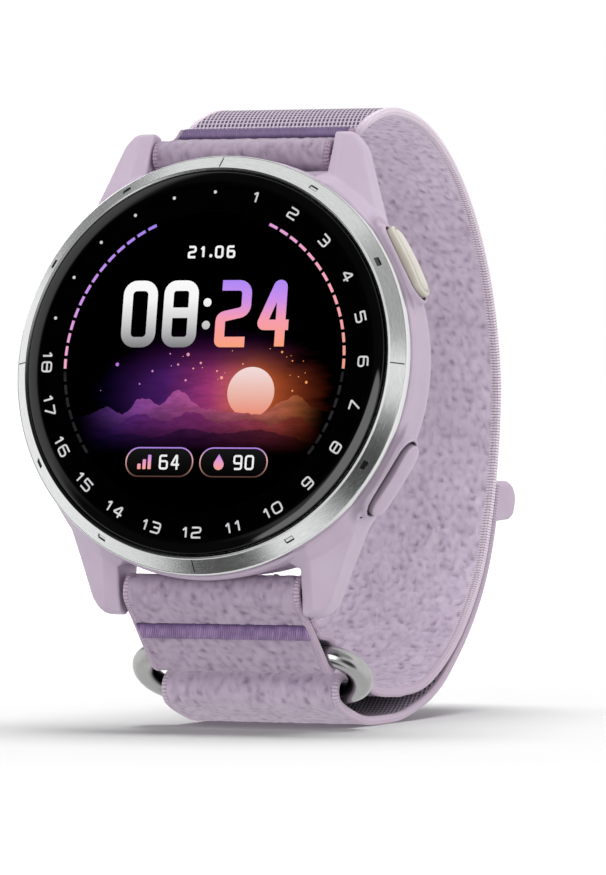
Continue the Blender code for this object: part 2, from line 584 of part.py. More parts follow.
bar_wrap, rod_wrap = 0.85 + STRAP_T + LOOSE, RING_HOLE + STRAP_T
outline = arc(0, 0, bar_wrap, heading, heading - 180, 14)
outline += [on_short(1.5, -1.45), on_short(2.7, -0.30), on_short(3.3, 0.05), on_short(4.9, 0.05), on_short(5.9, -0.35),
            on_short(7.6, -1.50)]
rod_local = (float(across[0] * reach), float(across[1] * reach))
outline += arc(rod_local[0], rod_local[1], rod_wrap, heading - 180, heading - 360, 14)
short_strap = plate("short_strap", [outline, circle(0, 0, 0.85), circle(rod_local[0], rod_local[1], RING_HOLE)],
                    -STRAP_HALF, STRAP_HALF, KNIT, SHORT)
combine(short_strap, lever_slot("lower"), "DIFFERENCE")
sewn = bar_wrap + (rod_wrap - bar_wrap) * 4.0 / reach
plate("lower_bartack", [[on_short(2.85, sewn + 0.07), on_short(4.9, sewn + 0.11), on_short(4.75, sewn + 0.36),
                         on_short(3.0, sewn + 0.32)]], -9.1, 9.1, THREAD, SHORT)

flap = through(FLAP)
flap = flap[(flap[:, 0] > 13.75) & (flap[:, 0] < 15.35)][::6]
flap_normal = -normals(flap)
plate("upper_bartack", [[tuple(p) for p in flap + flap_normal * (STRAP_T / 2 + 0.06)] +
                        [tuple(p) for p in (flap + flap_normal * (STRAP_T / 2 + 0.32))[::-1]]], -8.7, 8.7, THREAD, SIDE)

RING = empty("ring_pivot", SHORT, move(rod_local[0], rod_local[1], 0))
ring_points = []
for side in (1, -1):
    for i in range(13):
        a = math.radians(-90 + 180 * i / 12)
        u = side * RING_ARC * math.sin(a) + RING_ARC  # down the ring from the upper rod
        ring_points.append((down[0] * u, down[1] * u, side * (RING_HALF + RING_ARC * math.cos(a))))
wire("strap_ring", ring_points, RING_WIRE, STEEL, RING, closed=True, resolution=2)

bpy.context.view_layer.update()
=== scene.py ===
"""Looks of a golf GPS watch on a hook-and-loop strap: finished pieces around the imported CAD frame.

Frames: pieces of the watch head are drawn in the watch frame (x to 3 o'clock, y to 12 o'clock, z out of the dial),
strap pieces in a side view (Y, Z) measured from the centre of the dial. Lengths in this file are in mm
unless a line says otherwise.
"""

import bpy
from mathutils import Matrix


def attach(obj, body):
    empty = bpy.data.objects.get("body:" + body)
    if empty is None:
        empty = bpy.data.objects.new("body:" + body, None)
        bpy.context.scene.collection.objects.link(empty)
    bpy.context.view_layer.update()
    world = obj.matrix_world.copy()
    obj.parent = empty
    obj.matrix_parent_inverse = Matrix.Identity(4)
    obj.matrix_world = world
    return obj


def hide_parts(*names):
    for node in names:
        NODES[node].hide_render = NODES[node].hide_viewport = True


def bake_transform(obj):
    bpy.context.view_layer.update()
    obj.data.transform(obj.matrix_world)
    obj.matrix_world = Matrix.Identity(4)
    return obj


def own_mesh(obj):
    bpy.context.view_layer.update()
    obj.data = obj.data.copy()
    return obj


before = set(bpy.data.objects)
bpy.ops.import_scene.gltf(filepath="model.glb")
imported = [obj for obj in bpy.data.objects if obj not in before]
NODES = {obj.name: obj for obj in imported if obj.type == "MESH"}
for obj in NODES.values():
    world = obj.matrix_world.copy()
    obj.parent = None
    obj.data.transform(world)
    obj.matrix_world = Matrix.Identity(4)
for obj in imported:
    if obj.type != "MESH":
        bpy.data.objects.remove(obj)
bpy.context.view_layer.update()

import math

import bmesh
import bpy
import numpy as np
from mathutils import Matrix, Vector

MM = 0.001

# =============================================================================
# sizes shared with the CAD
# =============================================================================
LEAN, FACE_Y, FACE_Z = 9.85, -29.16, 37.15
BAR_Y, BAR_Z = 22.30, -6.50
BUTTON_ANGLE, BUTTON_Z, POCKET_FLOOR = 30.0, -5.10, 20.30
BUTTON_LENGTH, BUTTON_WIDTH = 8.20, 2.90
CAP_BOTTOM, CAP_TOP = 0.70, 2.40
STRAP_T, STRAP_HALF, LOOSE = 0.80, 9.80, 0.30
WRAP_R = 0.85 + STRAP_T / 2
FLOOR, TAIL_GAP = -37.15, 1.25
RING_Y, RING_Z, RING_SLOPE = 11.77, -31.55, 39.2
RING_HALF, RING_ARC, RING_WIRE, RING_HOLE = 9.00, 3.25, 0.85, 1.10
LOOP_OUTER = [
    (17.3, 23.95), (19.6, 25.0), (24.8, 26.18), (30.2, 26.08), (35.7, 24.9),
    (41.3, 22.3), (47.0, 17.85), (51.4, 12.4), (54.3, 6.7), (56.1, 0.0),
    (56.3, -4.4), (55.0, -12.6), (51.4, -22.0), (45.6, -28.4), (40.0, -31.95),
    (34.4, -34.0), (28.0, -34.55),
]
FLAP = [(15.7, 23.55), (14.9, 22.95), (13.6, 22.35), (12.2, 22.14)]
RETURN = [(12.6, 20.2), (13.8, 21.05), (15.4, 22.2)]
FOLD = [
    (22.1, -33.75), (18.2, -32.75), (15.3, -31.95), (13.0, -31.75), (11.6, -32.3),
    (11.15, -33.3), (11.6, -34.3), (13.0, -35.0), (15.8, -35.9), (20.0, -36.85),
    (24.0, -36.95), (27.5, -36.72), (31.0, -36.12), (34.0, -35.52), (37.0, -34.62), (39.8, -33.42),
]

HEAD = Matrix.Translation((0, FACE_Y * MM, FACE_Z * MM)) @ Matrix.Rotation(math.radians(90 - LEAN), 4, "X")


# =============================================================================
# numbers and curves
# =============================================================================
def smooth(a, b, x):
    t = np.clip((x - a) / (b - a), 0.0, 1.0)
    return t * t * (3 - 2 * t)


def unit(v):
    return v / np.linalg.norm(v, axis=-1, keepdims=True)


def normals(points):
    """Unit normals, to the left of the way the points run."""
    along = unit(np.gradient(points, axis=0))
    return np.stack([-along[:, 1], along[:, 0]], axis=1)


def through(points, steps=24):
    """A smooth curve through the points (centripetal Catmull-Rom)."""
    p = np.asarray(points, float)
    p = np.vstack([2 * p[0] - p[1], p, 2 * p[-1] - p[-2]])
    curve = []
    for i in range(1, len(p) - 2):
        knots = [0.0]
        for k in range(3):
            knots.append(knots[-1] + math.sqrt(np.linalg.norm(p[i + k] - p[i + k - 1])))
        t0, t1, t2, t3 = knots
        for t in np.linspace(t1, t2, steps, endpoint=False):
            a1 = (t1 - t) / (t1 - t0) * p[i - 1] + (t - t0) / (t1 - t0) * p[i]
            a2 = (t2 - t) / (t2 - t1) * p[i] + (t - t1) / (t2 - t1) * p[i + 1]
            a3 = (t3 - t) / (t3 - t2) * p[i + 1] + (t - t2) / (t3 - t2) * p[i + 2]
            b1 = (t2 - t) / (t2 - t0) * a1 + (t - t0) / (t2 - t0) * a2
            b2 = (t3 - t) / (t3 - t1) * a2 + (t - t1) / (t3 - t1) * a3
            curve.append((t2 - t) / (t2 - t1) * b1 + (t - t1) / (t2 - t1) * b2)
    curve.append(p[-2])
    return np.array(curve)


def resampled(points, step, relax=0):
    """The same curve with points at even distances, and its length at each."""
    points = np.asarray(points, float)
    keep = np.r_[True, np.linalg.norm(np.diff(points, axis=0), axis=1) > 1e-5]
    points = points[keep]
    run = np.r_[0, np.cumsum(np.linalg.norm(np.diff(points, axis=0), axis=1))]
    count = max(int(round(run[-1] / step)), 2)
    at = np.linspace(0, run[-1], count + 1)
    out = np.stack([np.interp(at, run, points[:, k]) for k in range(points.shape[1])], axis=1)
    for _ in range(relax):
        out[1:-1] = 0.25 * out[:-2] + 0.5 * out[1:-1] + 0.25 * out[2:]
    return out, at


def arc(cx, cy, radius, start, end, steps):
    return [(cx + radius * math.cos(math.radians(start + (end - start) * i / steps)),
             cy + radius * math.sin(math.radians(start + (end - start) * i / steps))) for i in range(steps + 1)]


def circle(cx, cy, radius, sides=24):
    return [(cx + radius * math.cos(2 * math.pi * i / sides), cy + radius * math.sin(2 * math.pi * i / sides))
            for i in range(sides)]


def pill(length, width, steps=12):
    r, points = width / 2, []
    for side in (1, -1):
        for i in range(steps + 1):
            a = -math.pi / 2 + math.pi * i / steps
            points.append((side * (length / 2 - r + r * math.cos(a)), side * r * math.sin(a)))
    return points


def rounded(width, height, radius, steps=6):
    points = []
    for k, (sx, sy) in enumerate([(1, 1), (-1, 1), (-1, -1), (1, -1)]):
        for i in range(steps + 1):
            a = math.pi / 2 * (k + i / steps)
            points.append((sx * (width / 2 - radius) + radius * math.cos(a),
                           sy * (height / 2 - radius) + radius * math.sin(a)))
    return points


def value_noise(u, v, seed, cell=1.0):
    """Smooth seeded noise, 0 to 1, one value per cell."""
    rng = np.random.default_rng(seed)
    table = rng.random((64, 64))
    a, b = np.asarray(u) / cell, np.asarray(v) / cell
    i, j = np.floor(a).astype(int), np.floor(b).astype(int)
    x, y = a - i, b - j
    x, y = x * x * (3 - 2 * x), y * y * (3 - 2 * y)
    i0, i1, j0, j1 = i % 64, (i + 1) % 64, j % 64, (j + 1) % 64
    return ((table[i0, j0] * (1 - x) + table[i1, j0] * x) * (1 - y)
            + (table[i0, j1] * (1 - x) + table[i1, j1] * x) * y)


# =============================================================================
# materials: every one is made of nodes
# =============================================================================
def srgb(r, g, b):
    def lin(c):
        c /= 255.0
        return c / 12.92 if c <= 0.04045 else ((c + 0.055) / 1.055) ** 2.4
    return (lin(r), lin(g), lin(b), 1.0)


class Paint:
    """A material with one Principled shader and a few words to wire nodes with."""

    def __init__(self, name, colour=None, roughness=0.5, metallic=0.0, **more):
        self.mat = bpy.data.materials.new(name)
        self.mat.use_nodes = True
        self.tree = self.mat.node_tree
        self.shader = self.tree.nodes["Principled BSDF"]
        self.put("Roughness", roughness)
        self.put("Metallic", metallic)
        if colour is not None:
            self.put("Base Color", colour)
        for key, value in more.items():
            self.put(key.replace("_", " "), value)

    def put(self, socket, value):
        target = self.shader.inputs[socket]
        if isinstance(value, bpy.types.NodeSocket):
            self.tree.links.new(value, target)
        else:
            target.default_value = value

    def node(self, kind, **settings):
        made = self.tree.nodes.new(kind)
        for key, value in settings.items():
            setattr(made, key, value)
        return made

    def wire(self, target, value):
        if isinstance(value, bpy.types.NodeSocket):
            self.tree.links.new(value, target)
        else:
            target.default_value = value

    def math(self, operation, a, b=None, c=None, clamp=False):
        made = self.node("ShaderNodeMath", operation=operation, use_clamp=clamp)
        for socket, value in zip(made.inputs, (a, b, c)):
            if value is not None:
                self.wire(socket, value)
        return made.outputs[0]

    def ramp(self, value, low, high, to_low=0.0, to_high=1.0, kind="SMOOTHSTEP"):
        made = self.node("ShaderNodeMapRange", interpolation_type=kind)
        for key, item in (("Value", value), ("From Min", low), ("From Max", high), ("To Min", to_low), ("To Max", to_high)):
            self.wire(made.inputs[key], item)
        return made.outputs["Result"]

    def mix(self, factor, a, b, blend="MIX"):
        made = self.node("ShaderNodeMix", data_type="RGBA", blend_type=blend)
        self.wire(made.inputs["Factor"], factor)
        self.wire(made.inputs[6], a)
        self.wire(made.inputs[7], b)
        return made.outputs[2]

    def colours(self, value, stops):
        made = self.node("ShaderNodeValToRGB")
        band = made.color_ramp
        while len(band.elements) < len(stops):
            band.elements.new(0.5)
        for element, (at, colour) in zip(band.elements, stops):
            element.position = at
            element.color = colour
        self.wire(made.inputs[0], value)
        return made.outputs[0]

    def uv(self):
        return self.node("ShaderNodeUVMap", uv_map="UVMap").outputs[0]

    def place(self):
        """Object coordinates in mm."""
        made = self.node("ShaderNodeMapping")
        made.inputs["Scale"].default_value = (1000, 1000, 1000)
        self.tree.links.new(self.node("ShaderNodeTexCoord").outputs["Object"], made.inputs["Vector"])
        return made.outputs[0]

    def stretch(self, vector, scale):
        made = self.node("ShaderNodeMapping")
        made.inputs["Scale"].default_value = scale
        self.tree.links.new(vector, made.inputs["Vector"])
        return made.outputs[0]

    def parts(self, vector):
        made = self.node("ShaderNodeSeparateXYZ")
        self.tree.links.new(vector, made.inputs[0])
        return made.outputs

    def noise(self, vector, scale, detail=3.0, rough=0.55):
        made = self.node("ShaderNodeTexNoise")
        made.inputs["Scale"].default_value = scale
        made.inputs["Detail"].default_value = detail
        made.inputs["Roughness"].default_value = rough
        self.tree.links.new(vector, made.inputs["Vector"])
        return made.outputs["Fac"]

    def value(self, name):
        return self.node("ShaderNodeAttribute", attribute_name=name).outputs["Fac"]

    def bump(self, height, depth_mm, strength=1.0, after=None):
        made = self.node("ShaderNodeBump")
        made.inputs["Strength"].default_value = strength
        made.inputs["Distance"].default_value = depth_mm * MM
        self.tree.links.new(height, made.inputs["Height"])
        if after is not None:
            self.tree.links.new(after, made.inputs["Normal"])
        self.tree.links.new(made.outputs[0], self.shader.inputs["Normal"])
        return made.outputs[0]


def moulded(name, light, dark, roughness, grain=0.006, painted_shade=None, **more):
    """Moulded polymer: slow mottling, fine spark-eroded grain, slightly uneven gloss; painted shade darkens it towards
    the last colour where a point's shade value is above 0.
    """
    p = Paint(name, **more)
    at = p.place()
    slow = p.noise(at, 0.22, 2.0)
    fine = p.noise(at, 9.0, 3.0, 0.6)
    tone = p.mix(p.ramp(slow, 0.3, 0.7), dark, light)
    p.put("Base Color", tone if painted_shade is None else p.mix(p.value("painted_shade"), tone, painted_shade))
    p.put("Roughness", p.ramp(fine, 0.3, 0.7, roughness - 0.05, roughness + 0.06))
    p.bump(fine, grain)
    return p.mat


def metal(name, light, dark, roughness, scale=0.8, grain=0.0006):
    p = Paint(name, metallic=1.0)
    at = p.place()
    cloud = p.noise(at, scale, 4.0, 0.65)
    p.put("Base Color", p.mix(p.ramp(cloud, 0.3, 0.7), dark, light))
    p.put("Roughness", p.ramp(cloud, 0.25, 0.75, roughness - 0.03, roughness + 0.04))
    p.bump(p.noise(at, 14.0, 2.0), grain)
    return p.mat


# the last colour of the lilac and cream polymers is painted shade, for the button pockets, the valley beside them and
# the button walls
LILAC = moulded("lilac_polymer", srgb(194, 177, 197), srgb(190, 172, 192), 0.46, painted_shade=srgb(58, 44, 60))
CREAM = moulded("cream_polymer", srgb(213, 209, 200), srgb(207, 202, 192), 0.32, grain=0.003, painted_shade=srgb(148, 140, 124))
TAB_RUBBER = moulded("lilac_rubber", srgb(194, 176, 196), srgb(188, 170, 190), 0.58, grain=0.010)
BLACK = moulded("black_polymer", srgb(36, 36, 38), srgb(29, 29, 31), 0.5)
SEAL = moulded("seal_rubber", srgb(34, 34, 35), srgb(27, 27, 28), 0.7)
STEEL = metal("satin_steel", srgb(200, 200, 199), srgb(194, 194, 193), 0.22, scale=0.3, grain=0.0002)
FOIL = metal("cell_foil", srgb(190, 192, 196), srgb(170, 172, 176), 0.34, scale=0.6)


def ring_steel():
    """Satin steel, painted near black on the inside of the ring as painted shade."""
    p = Paint("ring_steel", metallic=1.0)
    at = p.place()
    cloud = p.noise(at, 0.3, 3.0, 0.6)
    tone = p.mix(p.ramp(cloud, 0.3, 0.7), srgb(164, 164, 164), srgb(176, 176, 175))
    # painted shade: the inner value paints the inside of the ring near black
    p.put("Base Color", p.mix(p.value("inner"), tone, srgb(22, 22, 23)))
    p.put("Roughness", p.ramp(cloud, 0.25, 0.75, 0.16, 0.22))
    p.bump(p.noise(at, 14.0, 2.0), 0.0002)
    return p.mat


RING_STEEL = ring_steel()
GILT = metal("gilt_contact", srgb(232, 196, 118), srgb(219, 181, 102), 0.24)


def board_paint():
    """Solder mask with faint copper lines under it."""
    p = Paint("board_green", roughness=0.42)
    at = p.place()
    brick = p.node("ShaderNodeTexBrick")
    brick.inputs["Scale"].default_value = 0.9
    brick.inputs["Mortar Size"].default_value = 0.035
    brick.inputs["Color1"].default_value = srgb(24, 92, 58)
    brick.inputs["Color2"].default_value = srgb(20, 82, 52)
    brick.inputs["Mortar"].default_value = srgb(70, 140, 88)
    p.tree.links.new(at, brick.inputs["Vector"])
    p.put("Base Color", brick.outputs["Color"])
    p.bump(brick.outputs["Fac"], 0.02)
    return p.mat


BOARD = board_paint()


def brushed():
    """Aluminium brushed round the ring; the floors of the engraved marks and the left half of the inner lip are painted
    dark, as painted shade and painted dark reflection.
    """
    p = Paint("bezel_aluminium", metallic=1.0, Anisotropic=0.35)
    across = p.stretch(p.uv(), (0.9, 38.0, 1.0))
    lines = p.noise(across, 1.0, 5.0, 0.7)
    wide = p.noise(p.stretch(p.uv(), (0.3, 11.0, 1.0)), 1.0, 3.0, 0.6)
    metal_tone = p.mix(p.ramp(lines, 0.25, 0.75), srgb(196, 197, 198), srgb(236, 237, 237))
    metal_tone = p.mix(p.math("MULTIPLY", p.ramp(wide, 0.3, 0.7), 0.25), metal_tone, srgb(236, 237, 237))
    polish = p.value("polish")
    metal_tone = p.mix(polish, metal_tone, srgb(222, 223, 223))
    # painted shade and painted dark reflection: the mark value paints the floors of the engraved marks and the left
    # half of the inner lip dark
    p.put("Base Color", p.mix(p.value("painted_mark_shade"), metal_tone, srgb(44, 43, 44)))
    rough = p.ramp(lines, 0.2, 0.8, 0.13, 0.22)
    made = p.node("ShaderNodeMix", data_type="FLOAT")
    p.wire(made.inputs[0], polish)
    p.wire(made.inputs[2], rough)
    p.wire(made.inputs[3], 0.20)
    p.put("Roughness", made.outputs[0])
    tangent = p.node("ShaderNodeTangent", direction_type="RADIAL", axis="Z")
    p.put("Tangent", tangent.outputs[0])
    p.bump(p.math("MULTIPLY", lines, p.math("SUBTRACT", 1.0, polish)), 0.007)
    return p.mat


ALUMINIUM = brushed()


def clear_glass():
    p = Paint("cover_glass", (1, 1, 1, 1), 0.0)
    p.put("Transmission Weight", 1.0)
    p.put("IOR", 1.5)
    tint = p.noise(p.place(), 0.05, 1.0)
    p.put("Base Color", p.mix(tint, (0.985, 0.99, 1.0, 1.0), (1.0, 1.0, 1.0, 1.0)))
    return p.mat


GLASS = clear_glass()


def printed_glass():
    """The rim of the cover glass, printed black on its underside."""
    p = Paint("cover_glass_rim", roughness=0.02)
    p.put("IOR", 1.5)
    fine = p.noise(p.place(), 0.4, 2.0)
    p.put("Base Color", p.mix(fine, srgb(2, 2, 3), srgb(5, 5, 6)))
    p.put("Roughness", p.ramp(fine, 0.3, 0.7, 0.015, 0.03))
    return p.mat


RIM = printed_glass()


def ink():
    p = Paint("black_ink", roughness=0.5)
    p.put("Specular IOR Level", 0.0)
    fine = p.noise(p.place(), 6.0, 2.0)
    p.put("Base Color", p.mix(p.ramp(fine, 0.4, 0.6), srgb(3, 3, 4), srgb(5, 5, 6)))
    return p.mat


INK = ink()


def dark_glass():
    p = Paint("sensor_glass", roughness=0.06)
    cloud = p.noise(p.place(), 0.4, 2.0)
    p.put("Base Color", p.mix(cloud, srgb(12, 12, 15), srgb(20, 19, 24)))
    p.put("Roughness", p.ramp(cloud, 0.3, 0.7, 0.04, 0.09))
    return p.mat


SENSOR_GLASS = dark_glass()


def knit_paint():
    """Brushed loop face: puffy loops, little pits between them and loose fibres; painted shade darkens the pits and a
    painted highlight lightens the loop tops.
    """
    p = Paint("lilac_knit", roughness=0.92)
    p.put("Sheen Weight", 0.18)
    p.put("Sheen Roughness", 0.5)
    p.put("Specular IOR Level", 0.18)
    relief, uv = p.value("relief"), p.uv()
    fibre = p.noise(p.stretch(uv, (2.6, 5.2, 1.0)), 1.0, 4.0, 0.65)
    slow = p.noise(uv, 0.16, 2.0)
    # painted shade and highlight: the colour follows the height, dark in the pits and pale on the loop tops
    tone = p.colours(relief, [(0.0, srgb(134, 117, 140)), (0.30, srgb(185, 168, 190)), (0.60, srgb(229, 213, 233)),
                              (1.0, srgb(254, 243, 255))])
    tone = p.mix(p.ramp(fibre, 0.3, 0.7, 0.0, 0.36), tone, srgb(236, 222, 239))
    tone = p.mix(p.ramp(slow, 0.35, 0.65, 0.0, 0.16), tone, srgb(196, 180, 200))
    # painted shade: the point's tint value darkens whole stretches of the band, more where it is above 1
    tone = p.mix(p.value("tint"), tone, srgb(196, 190, 197), "MULTIPLY")
    p.put("Base Color", p.mix(p.ramp(p.value("tint"), 1.0, 2.0), tone, srgb(236, 236, 235), "MULTIPLY"))
    p.bump(fibre, 0.06, after=p.bump(relief, 0.12))
    return p.mat


def mesh_paint():
    """Open mesh face: slanted holes in rows between light ribs, the holes painted dark as shade."""
    p = Paint("lilac_mesh", roughness=0.85)
    p.put("Sheen Weight", 0.12)
    p.put("Specular IOR Level", 0.25)
    x, y, _ = p.parts(p.uv())
    row = p.math("FRACT", p.math("DIVIDE", x, 0.98))
    lean = p.math("ADD", p.math("DIVIDE", y, 0.435), p.math("MULTIPLY", x, 0.62))
    column = p.math("FRACT", lean)
    a = p.math("ABSOLUTE", p.math("SUBTRACT", row, 0.5))
    b = p.math("ABSOLUTE", p.math("SUBTRACT", column, 0.5))
    hole = p.math("MULTIPLY", p.ramp(a, 0.40, 0.31), p.ramp(b, 0.32, 0.20))
    fibre = p.noise(p.stretch(p.uv(), (4.0, 4.0, 1.0)), 1.0, 3.0)
    rib = p.mix(p.ramp(fibre, 0.3, 0.7), srgb(172, 154, 178), srgb(198, 182, 203))
    # painted shade: the holes are painted dark
    p.put("Base Color", p.mix(hole, rib, srgb(50, 42, 56)))
    p.bump(p.math("SUBTRACT", 1.0, hole), 0.12, after=p.bump(fibre, 0.02))
    return p.mat


def binding_paint():
    """Overlocked edge: two rows of short pale stitches."""
    p = Paint("edge_binding", roughness=0.8)
    p.put("Sheen Weight", 0.15)
    p.put("Specular IOR Level", 0.25)
    x, y, _ = p.parts(p.uv())
    rib = p.math("ABSOLUTE", p.math("SUBTRACT", p.math("FRACT", p.math("DIVIDE", x, 0.31)), 0.5))
    rib = p.ramp(rib, 0.48, 0.26)
    row = p.math("ABSOLUTE", p.math("SUBTRACT", p.math("FRACT", p.math("DIVIDE", y, 0.40)), 0.5))
    row = p.ramp(row, 0.49, 0.30, 0.66, 1.0)
    height = p.math("MULTIPLY", rib, row)
    fibre = p.noise(p.stretch(p.uv(), (5.0, 9.0, 1.0)), 1.0, 3.0)
    tone = p.mix(height, srgb(188, 154, 188), srgb(255, 243, 253))
    tone = p.mix(p.ramp(fibre, 0.35, 0.7, 0.0, 0.20), tone, srgb(250, 238, 250))
    # painted shade: where a point's tint value is above 0 the stitches are drawn flatter and the binding darker, above
    # 1 darker still
    tone = p.mix(p.ramp(p.value("tint"), 0.0, 1.0, 0.0, 0.55), tone, srgb(232, 214, 232))
    tone = p.mix(p.value("tint"), tone, srgb(212, 204, 213), "MULTIPLY")
    p.put("Base Color", p.mix(p.ramp(p.value("tint"), 1.0, 2.0), tone, srgb(216, 209, 217), "MULTIPLY"))
    p.bump(height, 0.10, after=p.bump(fibre, 0.02))
    return p.mat


def thread_paint():
    p = Paint("purple_thread", roughness=0.55)
    p.put("Sheen Weight", 0.2)
    relief, uv = p.value("relief"), p.uv()
    strand = p.noise(p.stretch(uv, (9.0, 1.4, 1.0)), 1.0, 3.0, 0.6)
    # painted shade and highlight: the colour follows the relief value, dark between the stitches and at the bar's ends,
    # light on the stitch tops
    tone = p.colours(relief, [(0.0, srgb(40, 24, 58)), (0.40, srgb(101, 71, 123)), (1.0, srgb(174, 141, 190))])
    p.put("Base Color", p.mix(p.ramp(strand, 0.3, 0.7, 0.0, 0.30), tone, srgb(101, 72, 123)))
    p.bump(strand, 0.03)
    return p.mat


def hook_paint():
    p = Paint("hook_tape", roughness=0.5)
    relief = p.value("relief")
    fibre = p.noise(p.stretch(p.uv(), (8.0, 8.0, 1.0)), 1.0, 2.0)
    # painted shade: the tape is darker in the hollows between the hooks
    tone = p.mix(relief, srgb(120, 104, 130), srgb(188, 173, 196))
    p.put("Base Color", p.mix(p.ramp(fibre, 0.4, 0.7, 0.0, 0.3), tone, srgb(205, 192, 212)))
    p.bump(fibre, 0.03)
    return p.mat


KNIT, MESH, BINDING, THREAD, HOOK = knit_paint(), mesh_paint(), binding_paint(), thread_paint(), hook_paint()


def glow(name, build, strength=1.0):
    """A lit part of the display: its colour is both paint and light."""
    p = Paint(name, roughness=0.6)
    p.put("Specular IOR Level", 0.0)
    colour = build(p)
    p.put("Base Color", (0.0, 0.0, 0.0, 1.0))
    p.put("Emission Color", colour)
    p.put("Emission Strength", strength)
    return p.mat


def wavering(low, high, scale=1.2):
    """A colour that wavers a little between two near tones."""
    return lambda p: p.mix(p.ramp(p.noise(p.place(), scale, 2.0), 0.35, 0.65), low, high)


def by_axis(axis, low, high, stops):
    """A colour that runs along one axis of the dial."""
    return lambda p: p.colours(p.ramp(p.parts(p.place())[axis], low, high, kind="LINEAR"), stops)


# painted light: the printed figures round the dial glow a little, in place of the lamplight that reaches them through
# the glass
PRINT = glow("dial_print_white_painted_glow", wavering(srgb(214, 214, 216), srgb(228, 228, 229)), 0.9)

# =============================================================================
# making objects
# =============================================================================
def build(name, points, faces, mats, face_mat=None, uv=None, values=None, matrix=None, smooth_faces=True, sharp=None):
    """A mesh object from points in mm. uv is per point in mm; values are per-point numbers that a material reads."""
    points = np.asarray(points, float) * MM
    faces = faces.tolist() if isinstance(faces, np.ndarray) else [list(f) for f in faces]
    mesh = bpy.data.meshes.new(name)
    mesh.from_pydata(points.tolist(), [], faces)
    for mat in mats:
        mesh.materials.append(mat)
    if face_mat is not None:
        mesh.polygons.foreach_set("material_index", np.asarray(face_mat, np.int32))
    mesh.polygons.foreach_set("use_smooth", np.full(len(faces), smooth_faces, bool))
    if uv is not None:
        layer = mesh.uv_layers.new(name="UVMap")
        corner = np.empty(len(mesh.loops), np.int32)
        mesh.loops.foreach_get("vertex_index", corner)
        layer.data.foreach_set("uv", np.asarray(uv, np.float32)[corner].ravel())
    for key, numbers in (values or {}).items():
        mesh.attributes.new(key, "FLOAT", "POINT").data.foreach_set("value", np.asarray(numbers, np.float32))
    mesh.update()
    if sharp is not None:
        mesh.set_sharp_from_angle(angle=math.radians(sharp))
    obj = bpy.data.objects.new(name, mesh)
    bpy.context.scene.collection.objects.link(obj)
    if matrix is not None:
        obj.matrix_world = matrix
    return obj


def outward(obj):
    """Turns every face of a closed mesh outwards."""
    work = bmesh.new()
    work.from_mesh(obj.data)
    bmesh.ops.recalc_face_normals(work, faces=work.faces)
    work.to_mesh(obj.data)
    work.free()
    obj.data.update()
    return obj


def finish(obj, body, slot, *nodes):
    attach(obj, body)
    if nodes:
        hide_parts(*nodes)
    return obj


def fillet(profile, radii, steps=4):
    """A polyline with its corners rounded; radii holds one radius for each point."""
    out = []
    n = len(profile)
    for i, (p, r) in enumerate(zip(profile, radii)):
        p = np.array(p, float)
        if r <= 0 or i in (0, n - 1):
            out.append(tuple(p))
            continue
        a, b = np.array(profile[i - 1], float) - p, np.array(profile[i + 1], float) - p
        la, lb = np.linalg.norm(a), np.linalg.norm(b)
        a, b = a / la, b / lb
        half = math.acos(max(-1, min(1, float(a @ b)))) / 2
        if half > math.radians(89):
            out.append(tuple(p))
            continue
        cut = min(r / math.tan(half), 0.48 * la, 0.48 * lb)
        r = cut * math.tan(half)
        centre = p + unit(a + b) * (r / math.sin(half))
        first, last = p + a * cut - centre, p + b * cut - centre
        a0, a1 = math.atan2(first[1], first[0]), math.atan2(last[1], last[0])
        turn = (a1 - a0 + math.pi) % (2 * math.pi) - math.pi
        out += [tuple(centre + r * np.array([math.cos(a0 + turn * k / steps), math.sin(a0 + turn * k / steps)]))
                for k in range(steps + 1)]
    return out


def revolve(profile, angles):
    """Points, faces and uv of a turned piece. A profile that ends on the axis is closed there with a fan."""
    profile = np.asarray(profile, float)
    count, turns = len(profile), len(angles)
    run = np.r_[0, np.cumsum(np.linalg.norm(np.diff(profile, axis=0), axis=1))]
    on_axis = [k for k in (0, count - 1) if profile[k, 0] < 1e-6]
    rings = [k for k in range(count) if k not in on_axis]
    c, s = np.cos(angles), np.sin(angles)
    points, uv, index = [], [], {}
    for k in rings:
        index[k] = len(points)
        points += [(profile[k, 0] * c[i], profile[k, 0] * s[i], profile[k, 1]) for i in range(turns)]
        uv += [(angles[i] * 20.0, run[k]) for i in range(turns)]
    faces = []
    pairs = list(zip(rings, rings[1:]))
    if not on_axis:
        pairs.append((rings[-1], rings[0]))
    for a, b in pairs:
        for i in range(turns):
            j = (i + 1) % turns
            faces.append([index[a] + i, index[b] + i, index[b] + j, index[a] + j])
    for k in on_axis:
        points.append((0.0, 0.0, profile[k, 1]))
        uv.append((0.0, run[k]))
        near = rings[0] if k == 0 else rings[-1]
        for i in range(turns):
            j = (i + 1) % turns
            faces.append([len(points) - 1, index[near] + i, index[near] + j] if k == 0
                         else [index[near] + i, len(points) - 1, index[near] + j])
    return np.array(points), faces, np.array(uv), index


def turned(name, profile, mat, steps=128, matrix=HEAD, sharp=38):
    points, faces, uv, _ = revolve(profile, np.arange(steps) * 2 * math.pi / steps)
    return outward(build(name, points, faces, [mat], uv=uv, matrix=matrix, sharp=sharp))


def prism(loop, low, high):
    """Points and faces of a closed flat plate from an outline."""
    n = len(loop)
    points = [(x, y, high) for x, y in loop] + [(x, y, low) for x, y in loop]
    faces = [list(range(n)), list(range(2 * n - 1, n - 1, -1))]
    faces += [[i, n + i, n + (i + 1) % n, (i + 1) % n] for i in range(n)]
    return points, faces


